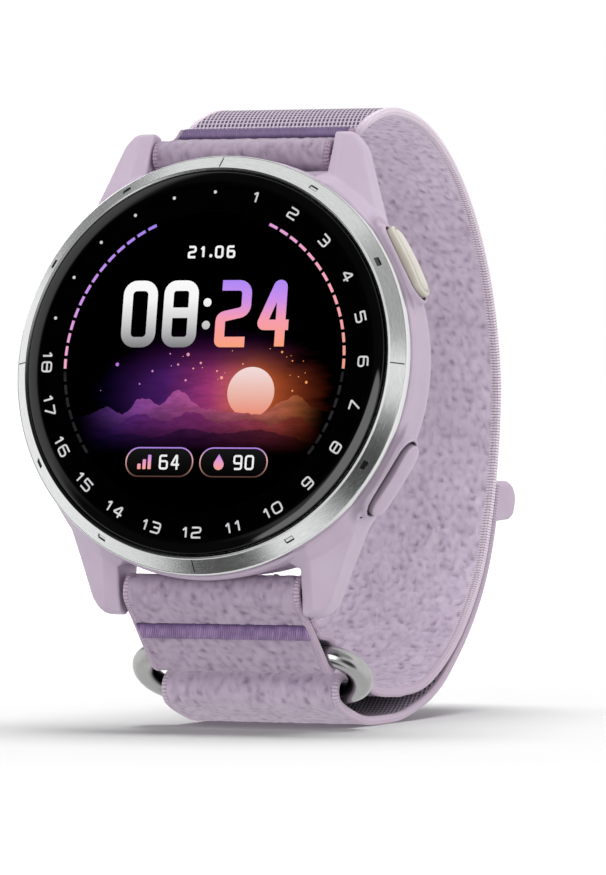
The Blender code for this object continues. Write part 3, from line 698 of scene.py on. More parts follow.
def stroke(path, width, low, high, closed=False):
    """Points and faces of a thin solid line along a flat path."""
    p = np.asarray(path, float)
    if closed:
        t = unit(np.roll(p, -1, axis=0) - np.roll(p, 1, axis=0))
    else:
        t = unit(np.gradient(p, axis=0))
    n = np.stack([-t[:, 1], t[:, 0]], axis=1) * width / 2
    left, right = p + n, p - n
    count = len(p)
    points = ([(x, y, high) for x, y in left] + [(x, y, high) for x, y in right]
              + [(x, y, low) for x, y in left] + [(x, y, low) for x, y in right])
    faces = []
    for i in range(count if closed else count - 1):
        j = (i + 1) % count
        faces += [[i, count + i, count + j, j], [2 * count + i, 2 * count + j, 3 * count + j, 3 * count + i],
                  [i, j, 2 * count + j, 2 * count + i], [count + i, 3 * count + i, 3 * count + j, count + j]]
    if not closed:
        e = count - 1
        faces += [[0, 2 * count, 3 * count, count], [e, count + e, 3 * count + e, 2 * count + e]]
    return points, faces


class Heap:
    """Several small solids gathered into one mesh."""

    def __init__(self):
        self.points, self.faces, self.mats = [], [], []

    def add(self, solid, mat=0, move=None):
        points, faces = solid
        start = len(self.points)
        self.points += [move(p) for p in points] if move else list(points)
        self.faces += [[start + i for i in face] for face in faces]
        self.mats += [mat] * len(faces)
        return self

    def make(self, name, mats, matrix=HEAD, smooth_faces=False):
        return outward(build(name, self.points, self.faces, mats, self.mats, matrix=matrix, smooth_faces=smooth_faces))


# =============================================================================
# camera, light and floor
# =============================================================================
def stage():
    scene = bpy.context.scene
    scene.view_settings.view_transform = "Standard"
    scene.view_settings.look = "None"
    scene.view_settings.exposure = 0.0
    scene.view_settings.gamma = 1.0

    yaw, pitch = math.radians(23.17), math.radians(0.55)
    camera = bpy.data.cameras.new("photo_camera")
    camera.sensor_width = 36.0
    camera.lens = 267.46
    camera.clip_start, camera.clip_end = 0.05, 50.0
    shot = bpy.data.objects.new("photo_camera", camera)
    scene.collection.objects.link(shot)
    shot.location = (264.78 * MM, -622.91 * MM, 35.86 * MM)
    shot.rotation_euler = (math.pi / 2 - pitch, 0.0, yaw)
    scene.camera = shot

    # floor: a wide pale sheet
    floor_mesh = bpy.data.meshes.new("floor")
    floor_mesh.from_pydata([(-9, -9, 0), (9, -9, 0), (9, 9, 0), (-9, 9, 0)], [], [[0, 1, 2, 3]])
    floor = bpy.data.objects.new("floor", floor_mesh)
    scene.collection.objects.link(floor)
    floor.location = (0, 0, -0.00003)
    paint = Paint("pale_floor", (0.40, 0.40, 0.40, 1.0), 0.9)
    paint.put("Specular IOR Level", 0.0)
    away = paint.node("ShaderNodeVectorMath", operation="LENGTH")
    paint.tree.links.new(paint.place(), away.inputs[0])
    far = paint.ramp(away.outputs["Value"], 60.0, 330.0)
    paint.put("Emission Color", paint.mix(far, (0.0, 0.0, 0.0, 1.0), (1.0, 1.0, 1.0, 1.0)))
    paint.put("Emission Strength", 0.80)
    floor_mesh.materials.append(paint.mat)
    floor.visible_glossy = False
    floor.visible_diffuse = False

    # world: an even pale studio with a few darker flags, set by direction
    world = bpy.data.worlds.new("studio")
    scene.world = world
    world.use_nodes = True
    tree = world.node_tree
    tree.nodes.clear()
    output = tree.nodes.new("ShaderNodeOutputWorld")
    background = tree.nodes.new("ShaderNodeBackground")
    where = tree.nodes.new("ShaderNodeTexCoord").outputs["Generated"]

    def lobe(azimuth, elevation, inner, outer):
        """1 near that direction, 0 away from it; angles in degrees, azimuth 0 is straight in front."""
        az, el = math.radians(azimuth), math.radians(elevation)
        dot = tree.nodes.new("ShaderNodeVectorMath")
        dot.operation = "DOT_PRODUCT"
        dot.inputs[1].default_value = (math.sin(az) * math.cos(el), -math.cos(az) * math.cos(el), math.sin(el))
        tree.links.new(where, dot.inputs[0])
        ease = tree.nodes.new("ShaderNodeMapRange")
        ease.interpolation_type = "SMOOTHSTEP"
        ease.inputs["From Min"].default_value = math.cos(math.radians(outer))
        ease.inputs["From Max"].default_value = math.cos(math.radians(inner))
        tree.links.new(dot.outputs["Value"], ease.inputs["Value"])
        return ease.outputs["Result"]

    level = None
    for value, spot in STUDIO:
        mix = tree.nodes.new("ShaderNodeMix")
        mix.data_type = "FLOAT"
        if level is None:
            mix.inputs[2].default_value = STUDIO_LEVEL
        else:
            tree.links.new(level, mix.inputs[2])
        mix.inputs[3].default_value = value
        tree.links.new(lobe(*spot), mix.inputs[0])
        level = mix.outputs[0]
    tree.links.new(level, background.inputs["Strength"])
    background.inputs["Color"].default_value = (1.0, 1.0, 1.0, 1.0)
    tree.links.new(background.outputs[0], output.inputs[0])

    def softbox(name, place, aim, size, power):
        light = bpy.data.lights.new(name, "AREA")
        light.shape = "RECTANGLE"
        light.size, light.size_y = size
        light.energy = power
        lamp = bpy.data.objects.new(name, light)
        scene.collection.objects.link(lamp)
        lamp.location = place
        lamp.rotation_euler = (Vector(aim) - Vector(place)).to_track_quat("-Z", "Y").to_euler()
        lamp.visible_glossy = False
        lamp.visible_camera = False

    softbox("top_softbox", (0.03, 0.08, 0.75), (0, 0, 0.03), (0.5, 0.5), 1.85)
    # a wide overhead panel for the floor alone, so that the shadow under the watch stays deep and soft
    softbox("floor_panel", (0.0, 0.10, 0.75), (0, 0, 0.0), (0.5, 0.5), 8.4)
    sheet = bpy.data.collections.new("floor_only")
    sheet.objects.link(floor)
    bpy.data.objects["floor_panel"].light_linking.receiver_collection = sheet
    softbox("front_softbox", (-0.06, -0.66, 0.38), (0, 0, 0.03), (0.6, 0.6), 1.75)
    softbox("right_softbox", (0.65, -0.15, 0.3), (0, 0, 0.03), (0.35, 0.5), 0.6)
    softbox("left_softbox", (-0.65, -0.05, 0.35), (0, 0, 0.03), (0.35, 0.5), 0.5)


STUDIO_LEVEL = 1.0
STUDIO = [
    # strength, (azimuth, elevation, full inside, gone outside)
    (0.92, (0, 90, 20, 62)),       # overhead, where the softbox takes over
    (0.90, (0, -90, 34, 84)),      # below
    (1.12, (88, 10, 30, 62)),      # right side
    (1.08, (-84, 10, 26, 58)),     # left side
    (0.70, (2, 2, 13, 58)),        # the front is the dim side of the studio
    (0.04, (0, 42, 29, 38)),       # dark flags in front, which keep the edge of the glass black; the front softbox makes up for them
    (0.05, (-32, -16, 17, 26)),
    (0.05, (24, 27, 12, 19)),
    (3.2, (9, 1.5, 14.5, 16.5)),   # a panel in front: the grey band in the edge of the glass near 4 o'clock
    (3.2, (3, -13, 12, 15)),
    (0.95, (56, 6, 6, 12)),        # bright runs of the bezel near 3 and 5 o'clock
    (1.05, (17, -50, 6, 15)),
    (0.06, (47, -20, 12, 27)),     # low right: the dark run of the bezel near 4 o'clock
    (0.10, (-28, -57, 12, 22)),    # low front: the grey run near 6 o'clock
    (0.47, (63, 40, 17, 26)),      # high right
    (0.28, (-114, 33, 8, 17)),     # left rear
    (0.0, (-24, 17, 12, 21)),      # front left: keeps the flat glass black
]
stage()


# =============================================================================
# case: one moulded body, found as the zero surface of a distance field
# =============================================================================
def outline_distance(points, r, z):
    """Signed distance to a closed outline, below zero inside."""
    best, inside = np.full(r.shape, 1e9), np.zeros(r.shape, bool)
    for (ax, ay), (bx, by) in zip(points, points[1:] + points[:1]):
        ex, ey = bx - ax, by - ay
        t = np.clip(((r - ax) * ex + (z - ay) * ey) / (ex * ex + ey * ey), 0, 1)
        best = np.minimum(best, (r - ax - t * ex) ** 2 + (z - ay - t * ey) ** 2)
        if ay != by:
            inside ^= ((ay > z) != (by > z)) & (r < (bx - ax) * (z - ay) / (by - ay) + ax)
    return np.where(inside, -1, 1) * np.sqrt(best)


def both(a, b, k):
    """The common part of two solids, with its edge rounded over k."""
    return np.maximum(a, b) + np.maximum(k - np.abs(a - b), 0) ** 2 / (4 * k)


def either(a, b, k):
    return -both(-a, -b, k)


CASE_OUTLINE = [(0, -2.40), (21.22, -2.40), (21.48, -2.62), (21.55, -3.20), (21.55, -6.70), (21.42, -7.25), (21.20, -7.80),
                (20.85, -8.38), (20.40, -8.90), (19.88, -9.42), (19.30, -9.90), (18.50, -10.42), (18.0, -10.60), (0, -10.60)]
CASE_HOLLOW = [(0, 0), (17.70, 0), (17.70, -2.95), (18.30, -2.95), (18.30, -8.60), (14.50, -8.60), (14.50, -9.70), (17.30, -9.70),
               (17.30, -13.0), (0, -13.0)]


def case_field(x, y, z):
    """Distance to the case; the same for y and -y."""
    side, y = np.abs(x), np.abs(y)
    r = np.hypot(x, y)
    body = outline_distance(CASE_OUTLINE, r, z)

    # a lug: inner face, inner bevel, broad outer facet, drawn side, back and a cut-off tip
    ridge = -3.5 - 0.31 * (y - 19.3)
    outer = np.interp(y, [9.0, 14.8, 19.3, 22.8, 24.0, 26.0], [18.60, 16.15, 14.45, 13.20, 12.75, 12.0])
    lug = 9.96 - side
    lug = both(lug, ((z - ridge) - 0.46 * (side - 11.3)) / 1.13, 0.10)
    lug = both(lug, ((z - ridge) + 0.42 * (side - 11.3)) / 1.13, 0.08)
    lug = both(lug, (side - outer + 0.12 * (ridge - 0.9 - z)) / 1.08, 0.14)
    lug = both(lug, -9.15 - z, 0.4)
    lug = both(lug, ((y - 24.15) * 1.65 + (z + 4.95)) / 1.93, 0.14)
    lug = both(lug, ((y - 23.65) * 1.2 - (z + 8.60)) / 1.56, 0.4)
    lug = both(lug, ((side - 12.95) + (y - 23.65) * 1.1) / 1.49, 0.5)
    lug = both(lug, y - 24.65, 0.2)
    lug = both(lug, 9.5 - y, 0.3)
    # where a lug leaves the flank the corner is filled with a sloping shoulder
    shoulder = (body + lug - 0.95) * 0.7071
    whole = either(np.minimum(body, lug), shoulder, 0.07)

    # a low boss round each push button, and its pocket
    c, s = math.cos(math.radians(BUTTON_ANGLE)), math.sin(math.radians(BUTTON_ANGLE))
    out, along, up = x * c + y * s - POCKET_FLOOR, -x * s + y * c, z - BUTTON_Z
    reach = np.maximum(np.abs(along) - (BUTTON_LENGTH - BUTTON_WIDTH) / 2, 0)
    ring = np.hypot(reach, up)
    moat = 0.46 - np.hypot(ring - BUTTON_WIDTH / 2 - 0.98, out - 1.42)
    whole = both(whole, np.where(np.abs(out - 1.4) < 2, moat, -1.0), 0.20)
    boss = both(ring - BUTTON_WIDTH / 2 - 0.50, out - 1.56, 0.16)
    boss = both(boss, -1.5 - out, 0.3)
    whole = either(whole, boss, 0.16)
    pocket = both(ring - BUTTON_WIDTH / 2 - 0.19, 0.0 - out, 0.1)
    pocket = np.minimum(pocket, both(np.hypot(along, up) - 0.95, -4.0 - out, 0.1))
    whole = both(whole, -pocket, 0.10)

    # scallop for the strap loop, the bar's holes, and the hollow inside
    round_bar = np.hypot(y - BAR_Y, z - BAR_Z)
    whole = both(whole, -both(round_bar - 3.0, side - 9.96, 0.05), 0.18)
    whole = both(whole, -both(round_bar - 0.5, side - 11.4, 0.05), 0.06)
    return both(whole, -outline_distance(CASE_HOLLOW, r, z), 0.10)


def surface_of(field, low, high, step):
    """A closed quad mesh on the zero surface of a field that is the same for y and -y."""
    xs = np.arange(low[0], high[0] + step, step)
    ys = (np.arange(int(high[1] / step) + 1) + 0.5) * step
    zs = np.arange(low[2], high[2] + step, step)
    x, y, z = np.meshgrid(xs, ys, zs, indexing="ij")
    half = field(x, y, z)
    f = np.concatenate([half[:, ::-1], half], axis=1)
    ys = np.concatenate([-ys[::-1], ys])
    inside = f < 0
    corner = [(i, j, k) for i in (0, 1) for j in (0, 1) for k in (0, 1)]
    nx, ny, nz = (n - 1 for n in f.shape)
    total = sum(inside[i:nx + i, j:ny + j, k:nz + k].astype(np.int8) for i, j, k in corner)
    cells = np.argwhere((total > 0) & (total < 8))
    number = np.full((nx, ny, nz), -1, np.int64)
    number[tuple(cells.T)] = np.arange(len(cells))
    value = {q: f[cells[:, 0] + q[0], cells[:, 1] + q[1], cells[:, 2] + q[2]] for q in corner}
    summed, count = np.zeros((len(cells), 3)), np.zeros(len(cells))
    for a in corner:
        for axis in range(3):
            if a[axis]:
                continue
            b = tuple(a[k] + (k == axis) for k in range(3))
            cross = (value[a] < 0) != (value[b] < 0)
            t = np.where(cross, value[a] / np.where(cross, value[a] - value[b], 1), 0)
            spot = np.tile(np.array(a, float), (len(cells), 1))
            spot[:, axis] += t
            summed += spot * cross[:, None]
            count += cross
    at = (cells + summed / count[:, None])
    points = np.stack([np.interp(at[:, 0], np.arange(len(xs)), xs), np.interp(at[:, 1], np.arange(len(ys)), ys),
                       np.interp(at[:, 2], np.arange(len(zs)), zs)], axis=1)
    faces = []
    for axis in range(3):
        o1, o2 = (axis + 1) % 3, (axis + 2) % 3
        first = np.take(inside, range(f.shape[axis] - 1), axis)
        second = np.take(inside, range(1, f.shape[axis]), axis)
        edges = np.argwhere(first != second)
        edges = edges[(edges[:, o1] > 0) & (edges[:, o2] > 0) & (edges[:, o1] < f.shape[o1] - 1) & (edges[:, o2] < f.shape[o2] - 1)]
        quad = []
        for d1, d2 in ((-1, -1), (0, -1), (0, 0), (-1, 0)):
            spot = edges.copy()
            spot[:, o1] += d1
            spot[:, o2] += d2
            quad.append(number[tuple(spot.T)])
        quad = np.stack(quad, axis=1)
        flip = ~first[tuple(edges.T)]
        quad[flip] = quad[flip][:, ::-1]
        faces.append(quad)
    faces = np.vstack(faces)
    # slide every point onto the exact surface
    for _ in range(3):
        e = 0.01
        here = field(*points.T)
        grad = np.stack([(field(*(points + d).T) - field(*(points - d).T)) / (2 * e) for d in np.eye(3) * e], axis=1)
        size = np.maximum((grad ** 2).sum(1), 0.2)
        points = points - np.clip(here / size, -step, step)[:, None] * grad * 0.8
    return points, faces


points, faces = surface_of(case_field, (-22.4, 0, -11.0), (22.6, 25.6, -2.0), 0.18)


def case_deep(x, y, z):
    """Painted shade: 1 inside the button pockets, less in the valley between a pocket's lip and the bezel."""
    c, s = math.cos(math.radians(BUTTON_ANGLE)), math.sin(math.radians(BUTTON_ANGLE))
    amount = np.where(y > 0, 0.40, 0.46)
    y = np.abs(y)
    out, along, up = x * c + y * s - POCKET_FLOOR, -x * s + y * c, z - BUTTON_Z
    ring = np.hypot(np.maximum(np.abs(along) - (BUTTON_LENGTH - BUTTON_WIDTH) / 2, 0), up) - BUTTON_WIDTH / 2
    near = (np.abs(out - 0.8) < 1.2) & (x > 0)
    pocket = np.where(amount > 0.42, 0.70, 1.0) * smooth(0.34, 0.22, ring) * smooth(1.54, 1.38, out)
    valley = amount * smooth(0.46, 0.62, ring) * smooth(2.3, 1.1, ring) * smooth(1.0, 1.7, up) * smooth(1.66, 1.50, out)
    return np.where(near, np.maximum(pocket, valley), 0.0)


# the case carries painted shade values for its button pockets and the valley beside them
case = build("watch_case", points, faces, [LILAC], values={"painted_shade": case_deep(*points.T)}, matrix=HEAD)
finish(case, "case", "lilac_polymer", "case_body")

# =============================================================================
# bezel with engraved marks, glass and dial
# =============================================================================
def make_bezel():
    angles = []
    for k in range(12):
        middle = math.radians(90 - 30 * k)
        for d in np.r_[np.arange(-15, -2.2, 0.8), np.r_[np.arange(-2.2, -0.4, 0.11), np.arange(-0.4, 0.4, 0.055), np.arange(0.4, 2.2, 0.11)], np.arange(2.2, 15, 0.8)]:
            angles.append(middle - math.radians(d))
    angles = np.array(sorted(set(np.round(np.mod(angles, 2 * math.pi), 6))))
    cone = [(19.95 + 1.25 * t, -0.12 - 1.08 * t) for t in
            (0.0, 0.02, 0.05, 0.10, 0.20, 0.26, 0.285, 0.39, 0.495, 0.52, 0.60, 0.70, 0.80, 0.88, 0.93, 0.98)]
    profile = [(19.50, -1.60), (19.50, -0.26), (19.52, -0.17), (19.57, -0.11), (19.83, 0.0), (19.87, 0.005), (19.91, -0.04)] + cone + [
        (21.18, -1.20), (21.21, -1.225), (21.235, -1.21), (21.30, -1.30), (21.35, -1.42), (21.35, -2.05), (21.30, -2.22), (21.20, -2.30),
        (17.90, -2.30), (17.90, -1.60)]
    points, faces, uv, index = revolve(profile, angles)
    turns = len(angles)
    clock = (90 - np.degrees(angles)) % 360
    painted_mark_shade, polish = np.zeros(len(points)), np.zeros(len(points))
    down = np.array([-0.654, -0.756])  # into the cone, in (r, z)
    for k, (r, z) in enumerate(profile):
        if k not in index:
            continue
        row = slice(index[k], index[k] + turns)
        if k < 7 or r > 21.22 or z < -1.3:
            polish[row] = 1.0
        if k < 7:
            # painted shade: the left half of the polished inner lip is painted darker
            painted_mark_shade[row] = 0.88 * np.clip(-1.6 * np.sin(np.radians(clock)), 0, 1)
        if not (19.95 <= r <= 21.2 and -1.25 < z < -0.1):
            continue
        near = np.abs((clock + 15) % 30 - 15) * math.pi / 180 * r  # distance from the nearest mark, along the ring
        hour = np.round(clock / 30).astype(int) % 12
        line = (hour % 3 == 0) & (near < 0.062) & (19.97 < r < 21.1)
        slot = (hour % 3 != 0) & (near < 0.46) & (20.29 < r < 20.60)
        cut = np.where(line, 0.10, 0) + np.where(slot, 0.12, 0)
        rows = np.arange(index[k], index[k] + turns)
        points[rows, 0] += cut * down[0] * np.cos(angles)
        points[rows, 1] += cut * down[0] * np.sin(angles)
        points[rows, 2] += cut * down[1]
        # painted shade and painted dark reflection: the engraved lines and the slots at 2, 4, 8, 10 and 11 o'clock are
        # painted dark all over, the other slots only along their ends and inner edge
        painted_shade = slot & ((hour == 2) | (hour == 4) | (hour == 8) | (hour > 9) | (near > 0.385) | (r < 20.35))
        painted_mark_shade[rows] = np.where(line, 0.80, np.where(painted_shade, 0.84, np.where(slot, 0.10, 0)))
    obj = outward(build("bezel", points, faces, [ALUMINIUM], uv=uv, values={"painted_mark_shade": painted_mark_shade, "polish": polish}, matrix=HEAD, sharp=32))
    return finish(obj, "case", "bezel_aluminium", "bezel_ring")


make_bezel()

lens_profile = [(0, 0.50), (6.0, 0.50), (12.0, 0.50), (16.0, 0.50), (17.6, 0.50)] + [
    (17.78 + 4.2 * math.sin(math.radians(a)), -3.70 + 4.2 * math.cos(math.radians(a))) for a in np.arange(1, 22.6, 1.0)] + [
    (19.392, 0.16), (19.40, 0.13),
    (19.40, -1.14), (19.34, -1.20), (12.0, -1.20), (0, -1.20)]
lens_points, lens_faces, _, _ = revolve(lens_profile, np.arange(192) * 2 * math.pi / 192)
rim = [int(min(math.hypot(*lens_points[i][:2]) for i in face) > 17.9 and max(lens_points[i][2] for i in face) > -1.0) for face in lens_faces]
glass = outward(build("cover_glass_lens", lens_points, lens_faces, [GLASS, RIM], rim, matrix=HEAD, sharp=60))
finish(glass, "case", "cover_glass", "lens")

core_profile = [(0, 0.300), (10.0, 0.300), (17.86, 0.300)] + [
    (17.78 + 4.14 * math.sin(math.radians(a)), -3.70 + 4.14 * math.cos(math.radians(a))) for a in np.arange(9, 22.1, 1.0)] + [
    (19.34, 0.06), (19.34, -1.13), (12.0, -1.13), (0, -1.13)]
core = turned("dial_backing", core_profile, INK, 160, sharp=60)
finish(core, "case", "display_black")

# ---- figures: squarish rounded strokes --------------------------------------------------
GLYPHS = {  # in a box one wide and one high: (points, corner radius, closed)
    "0": [([(0, 0), (1, 0), (1, 1), (0, 1)], 0.30, True)],
    "1": [([(0.28, 0.74), (0.62, 1.0), (0.62, 0)], 0.04, False)],
    "2": [([(0.0, 1), (1, 1), (1, 0.54), (0, 0.44), (0, 0), (1.02, 0)], (0, 0.26, 0.26, 0.16, 0.05, 0), False)],
    "3": [([(0, 1), (1, 1), (1, 0), (0, 0)], 0.24, False), ([(0.28, 0.52), (0.96, 0.52)], 0, False)],
    "4": [([(0.76, -0.08), (0.76, 1.0), (0.62, 1.0), (0.0, 0.30), (1.08, 0.30)], 0.06, False)],
    "5": [([(1, 1), (0, 1), (0, 0.57), (1, 0.57), (1, 0), (-0.02, 0)], (0, 0.03, 0.03, 0.24, 0.24, 0), False)],
    "6": [([(0.96, 1), (0, 1), (0, 0), (1, 0), (1, 0.57), (0.06, 0.57)], 0.24, False)],
    "7": [([(0, 1), (1, 1), (0.38, -0.06)], 0.05, False)],
    "8": [([(0, 0), (1, 0), (1, 1), (0, 1)], 0.26, True), ([(0.05, 0.52), (0.95, 0.52)], 0, False)],
    "9": [([(0.04, 0), (1, 0), (1, 1), (0, 1), (0, 0.43), (0.94, 0.43)], 0.24, False)],
    "+": [([(0.1, 0.5), (0.9, 0.5)], 0, False), ([(0.5, 0.1), (0.5, 0.9)], 0, False)],
    "-": [([(0.1, 0.5), (0.9, 0.5)], 0, False)],
    "%": [([(0.05, 0.0), (0.95, 1.0)], 0, False), (circle(0.12, 0.80, 0.17, 12), 0, True), (circle(0.88, 0.20, 0.17, 12), 0, True)],
}
NARROW = {"1": 0.62}


def figure(text, height, width, weight, low, high, gap=0.34, radius=1.0):
    """Solids of a row of figures, centred on the origin."""
    wide = [(NARROW.get(c, 1.0)) * width for c in text]
    space = gap * width + weight
    total = sum(wide) + space * (len(text) - 1)
    solids, x = [], -total / 2
    for c, w in zip(text, wide):
        inset = (NARROW.get(c, 1.0) < 1) * 0.20 * width
        for path, corner, closed in GLYPHS[c]:
            flat = [(px * width, py * height) for px, py in path]
            if corner and closed:
                cut = corner * width * radius
                flat = flat + flat[:2]
                flat = fillet(flat, [0] + [cut] * (len(flat) - 2) + [0], 6)[1:-1]
            elif corner:
                flat = fillet(flat, [k * width * radius for k in (corner if isinstance(corner, tuple) else [corner] * len(flat))], 5)
            flat = [(px + x - inset, py - height / 2) for px, py in flat]
            solids.append(stroke(flat, weight, low, high, closed))
        x += w + space
    return solids


def dial_numbers():
    heap = Heap()
    low, high = 0.303, 0.311
    for n in range(1, 19):
        angle = math.radians(15 * n)  # clockwise from 12
        centre = (17.28 * math.sin(angle), 17.28 * math.cos(angle))
        turn = -angle if n <= 6 else math.pi - angle
        c, s = math.cos(turn), math.sin(turn)
        for solid in figure(str(n), 1.00, 0.94, 0.185, low, high, gap=0.30):
            heap.add(solid, move=lambda p: (centre[0] + p[0] * c - p[1] * s, centre[1] + p[0] * s + p[1] * c, p[2]))
    for degrees in [0, 285, 300, 315, 330, 345]:
        angle = math.radians(degrees)
        heap.add(prism(circle(17.28 * math.sin(angle), 17.28 * math.cos(angle), 0.17, 20), low, high))
    return finish(heap.make("dial_numbers", [PRINT]), "case", "display_black")


dial_numbers()


# ---- lit picture and figures: a dusk landscape, plain numbers and small signs ----------------
def sky_colour(p):
    """Dusk: violet on the left, orange on the right, fading to black away from the low sun."""
    x, y, _ = p.parts(p.place())
    hue = p.colours(p.ramp(x, -11.0, 12.0, kind="LINEAR"),
                    [(0.0, srgb(52, 30, 110)), (0.30, srgb(104, 44, 140)), (0.52, srgb(170, 60, 120)),
                     (0.74, srgb(246, 122, 66)), (1.0, srgb(206, 84, 52))])
    hue = p.mix(p.ramp(y, -2.2, 2.8), hue, srgb(84, 26, 98))
    a = p.math("DIVIDE", p.math("SUBTRACT", x, 1.4), 12.2)
    b = p.math("DIVIDE", p.math("SUBTRACT", y, -3.2), 6.2)
    far = p.math("SQRT", p.math("ADD", p.math("MULTIPLY", a, a), p.math("MULTIPLY", b, b)))
    streak = p.noise(p.stretch(p.place(), (0.16, 0.62, 1.0)), 1.0, 4.0, 0.6)
    far = p.math("ADD", far, p.math("MULTIPLY", p.math("SUBTRACT", streak, 0.5), 0.55))
    light = p.ramp(far, 1.12, 0.12)
    light = p.math("MULTIPLY", light, p.ramp(streak, 0.25, 0.75, 0.42, 1.0))
    return p.mix(light, (0.0, 0.0, 0.0, 1.0), hue)


def hill_colour(left, middle, right, base, crest):
    def paint(p):
        x, y, _ = p.parts(p.place())
        hue = p.colours(p.ramp(x, -10.0, 11.0, kind="LINEAR"), [(0.0, left), (0.5, middle), (1.0, right)])
        grain = p.noise(p.stretch(p.place(), (0.5, 1.6, 1.0)), 1.0, 4.0, 0.6)
        light = p.math("MULTIPLY", p.ramp(y, base, crest), p.ramp(grain, 0.2, 0.8, 0.55, 1.0))
        light = p.math("MULTIPLY", light, p.ramp(p.math("ABSOLUTE", x), 13.6, 6.5))
        return p.mix(light, (0.0, 0.0, 0.0, 1.0), hue)
    return paint


SKY = glow("display_sky", sky_colour, 1.0)
SUN = glow("display_sun", by_axis(1, -5.6, -0.4, [(0.0, srgb(238, 140, 112)), (0.5, srgb(240, 190, 178)), (1.0, srgb(246, 226, 226))]), 1.0)
FAR_HILL = glow("display_far_hill", hill_colour(srgb(124, 72, 176), srgb(196, 92, 150), srgb(252, 142, 84), -8.4, -3.0), 1.0)
MID_HILL = glow("display_middle_hill", hill_colour(srgb(76, 38, 122), srgb(132, 48, 110), srgb(196, 82, 60), -9.2, -4.8), 1.0)
NEAR_HILL = glow("display_near_hill", hill_colour(srgb(40, 20, 74), srgb(66, 24, 66), srgb(104, 38, 40), -9.6, -6.2), 1.0)
SPARK = glow("display_sparks", by_axis(0, -8.0, 10.0, [(0.0, srgb(190, 120, 220)), (0.5, srgb(250, 170, 160)), (1.0, srgb(255, 160, 90))]), 1.0)
WHITE = glow("display_white", by_axis(1, 1.4, 8.3, [(0.0, srgb(124, 124, 126)), (0.35, srgb(206, 206, 207)), (0.7, srgb(250, 250, 250)), (1.0, srgb(255, 255, 255))]), 1.0)
WARM = glow("display_warm", by_axis(1, 1.4, 8.3, [(0.0, srgb(255, 166, 128)), (0.42, srgb(252, 160, 178)), (0.72, srgb(206, 146, 240)), (1.0, srgb(176, 140, 252))]), 1.0)
SMALL = glow("display_small_figures", wavering(srgb(238, 238, 239), srgb(250, 250, 250)), 1.0)
SIGN = glow("display_signs", by_axis(1, -11.2, -9.2, [(0.0, srgb(255, 170, 130)), (0.5, srgb(240, 160, 200)), (1.0, srgb(184, 140, 250))]), 1.0)
DISC = glow("display_disc", by_axis(1, -11.8, -8.6, [(0.0, srgb(2, 2, 2)), (0.6, srgb(16, 16, 17)), (1.0, srgb(26, 26, 27))]), 1.0)
HOOP = glow("display_hoops", by_axis(1, -11.8, -8.6, [(0.0, srgb(56, 38, 34)), (0.30, srgb(170, 124, 112)), (0.62, srgb(232, 180, 176)), (1.0, srgb(170, 130, 236))]), 1.0)
FAINT = glow("display_faint_ring", wavering(srgb(34, 33, 36), srgb(44, 43, 46)), 1.0)


def arc_colour(p):
    return p.colours(p.value("along"), [(0.0, srgb(166, 132, 240)), (0.30, srgb(206, 150, 236)), (0.55, srgb(252, 172, 190)),
                                        (0.74, srgb(246, 160, 146)), (0.84, srgb(132, 84, 76)), (0.93, srgb(42, 26, 24)), (1.0, srgb(4, 3, 3))])


SWEEP = glow("display_sweep", arc_colour, 1.0)


def ridge_line(knots, count=90, seed=0, rough=0.0):
    knots = np.asarray(knots, float)
    line, _ = resampled(through(knots, 12), np.ptp(knots[:, 0]) / count)
    if rough:
        line[:, 1] += rough * (value_noise(line[:, 0] + 50, line[:, 0] * 0 + 3, seed, 0.55) - 0.5)
        line[:, 1] += rough * 0.5 * (value_noise(line[:, 0] + 50, line[:, 0] * 0 + 9, seed + 1, 0.22) - 0.5)
    return [tuple(q) for q in line]


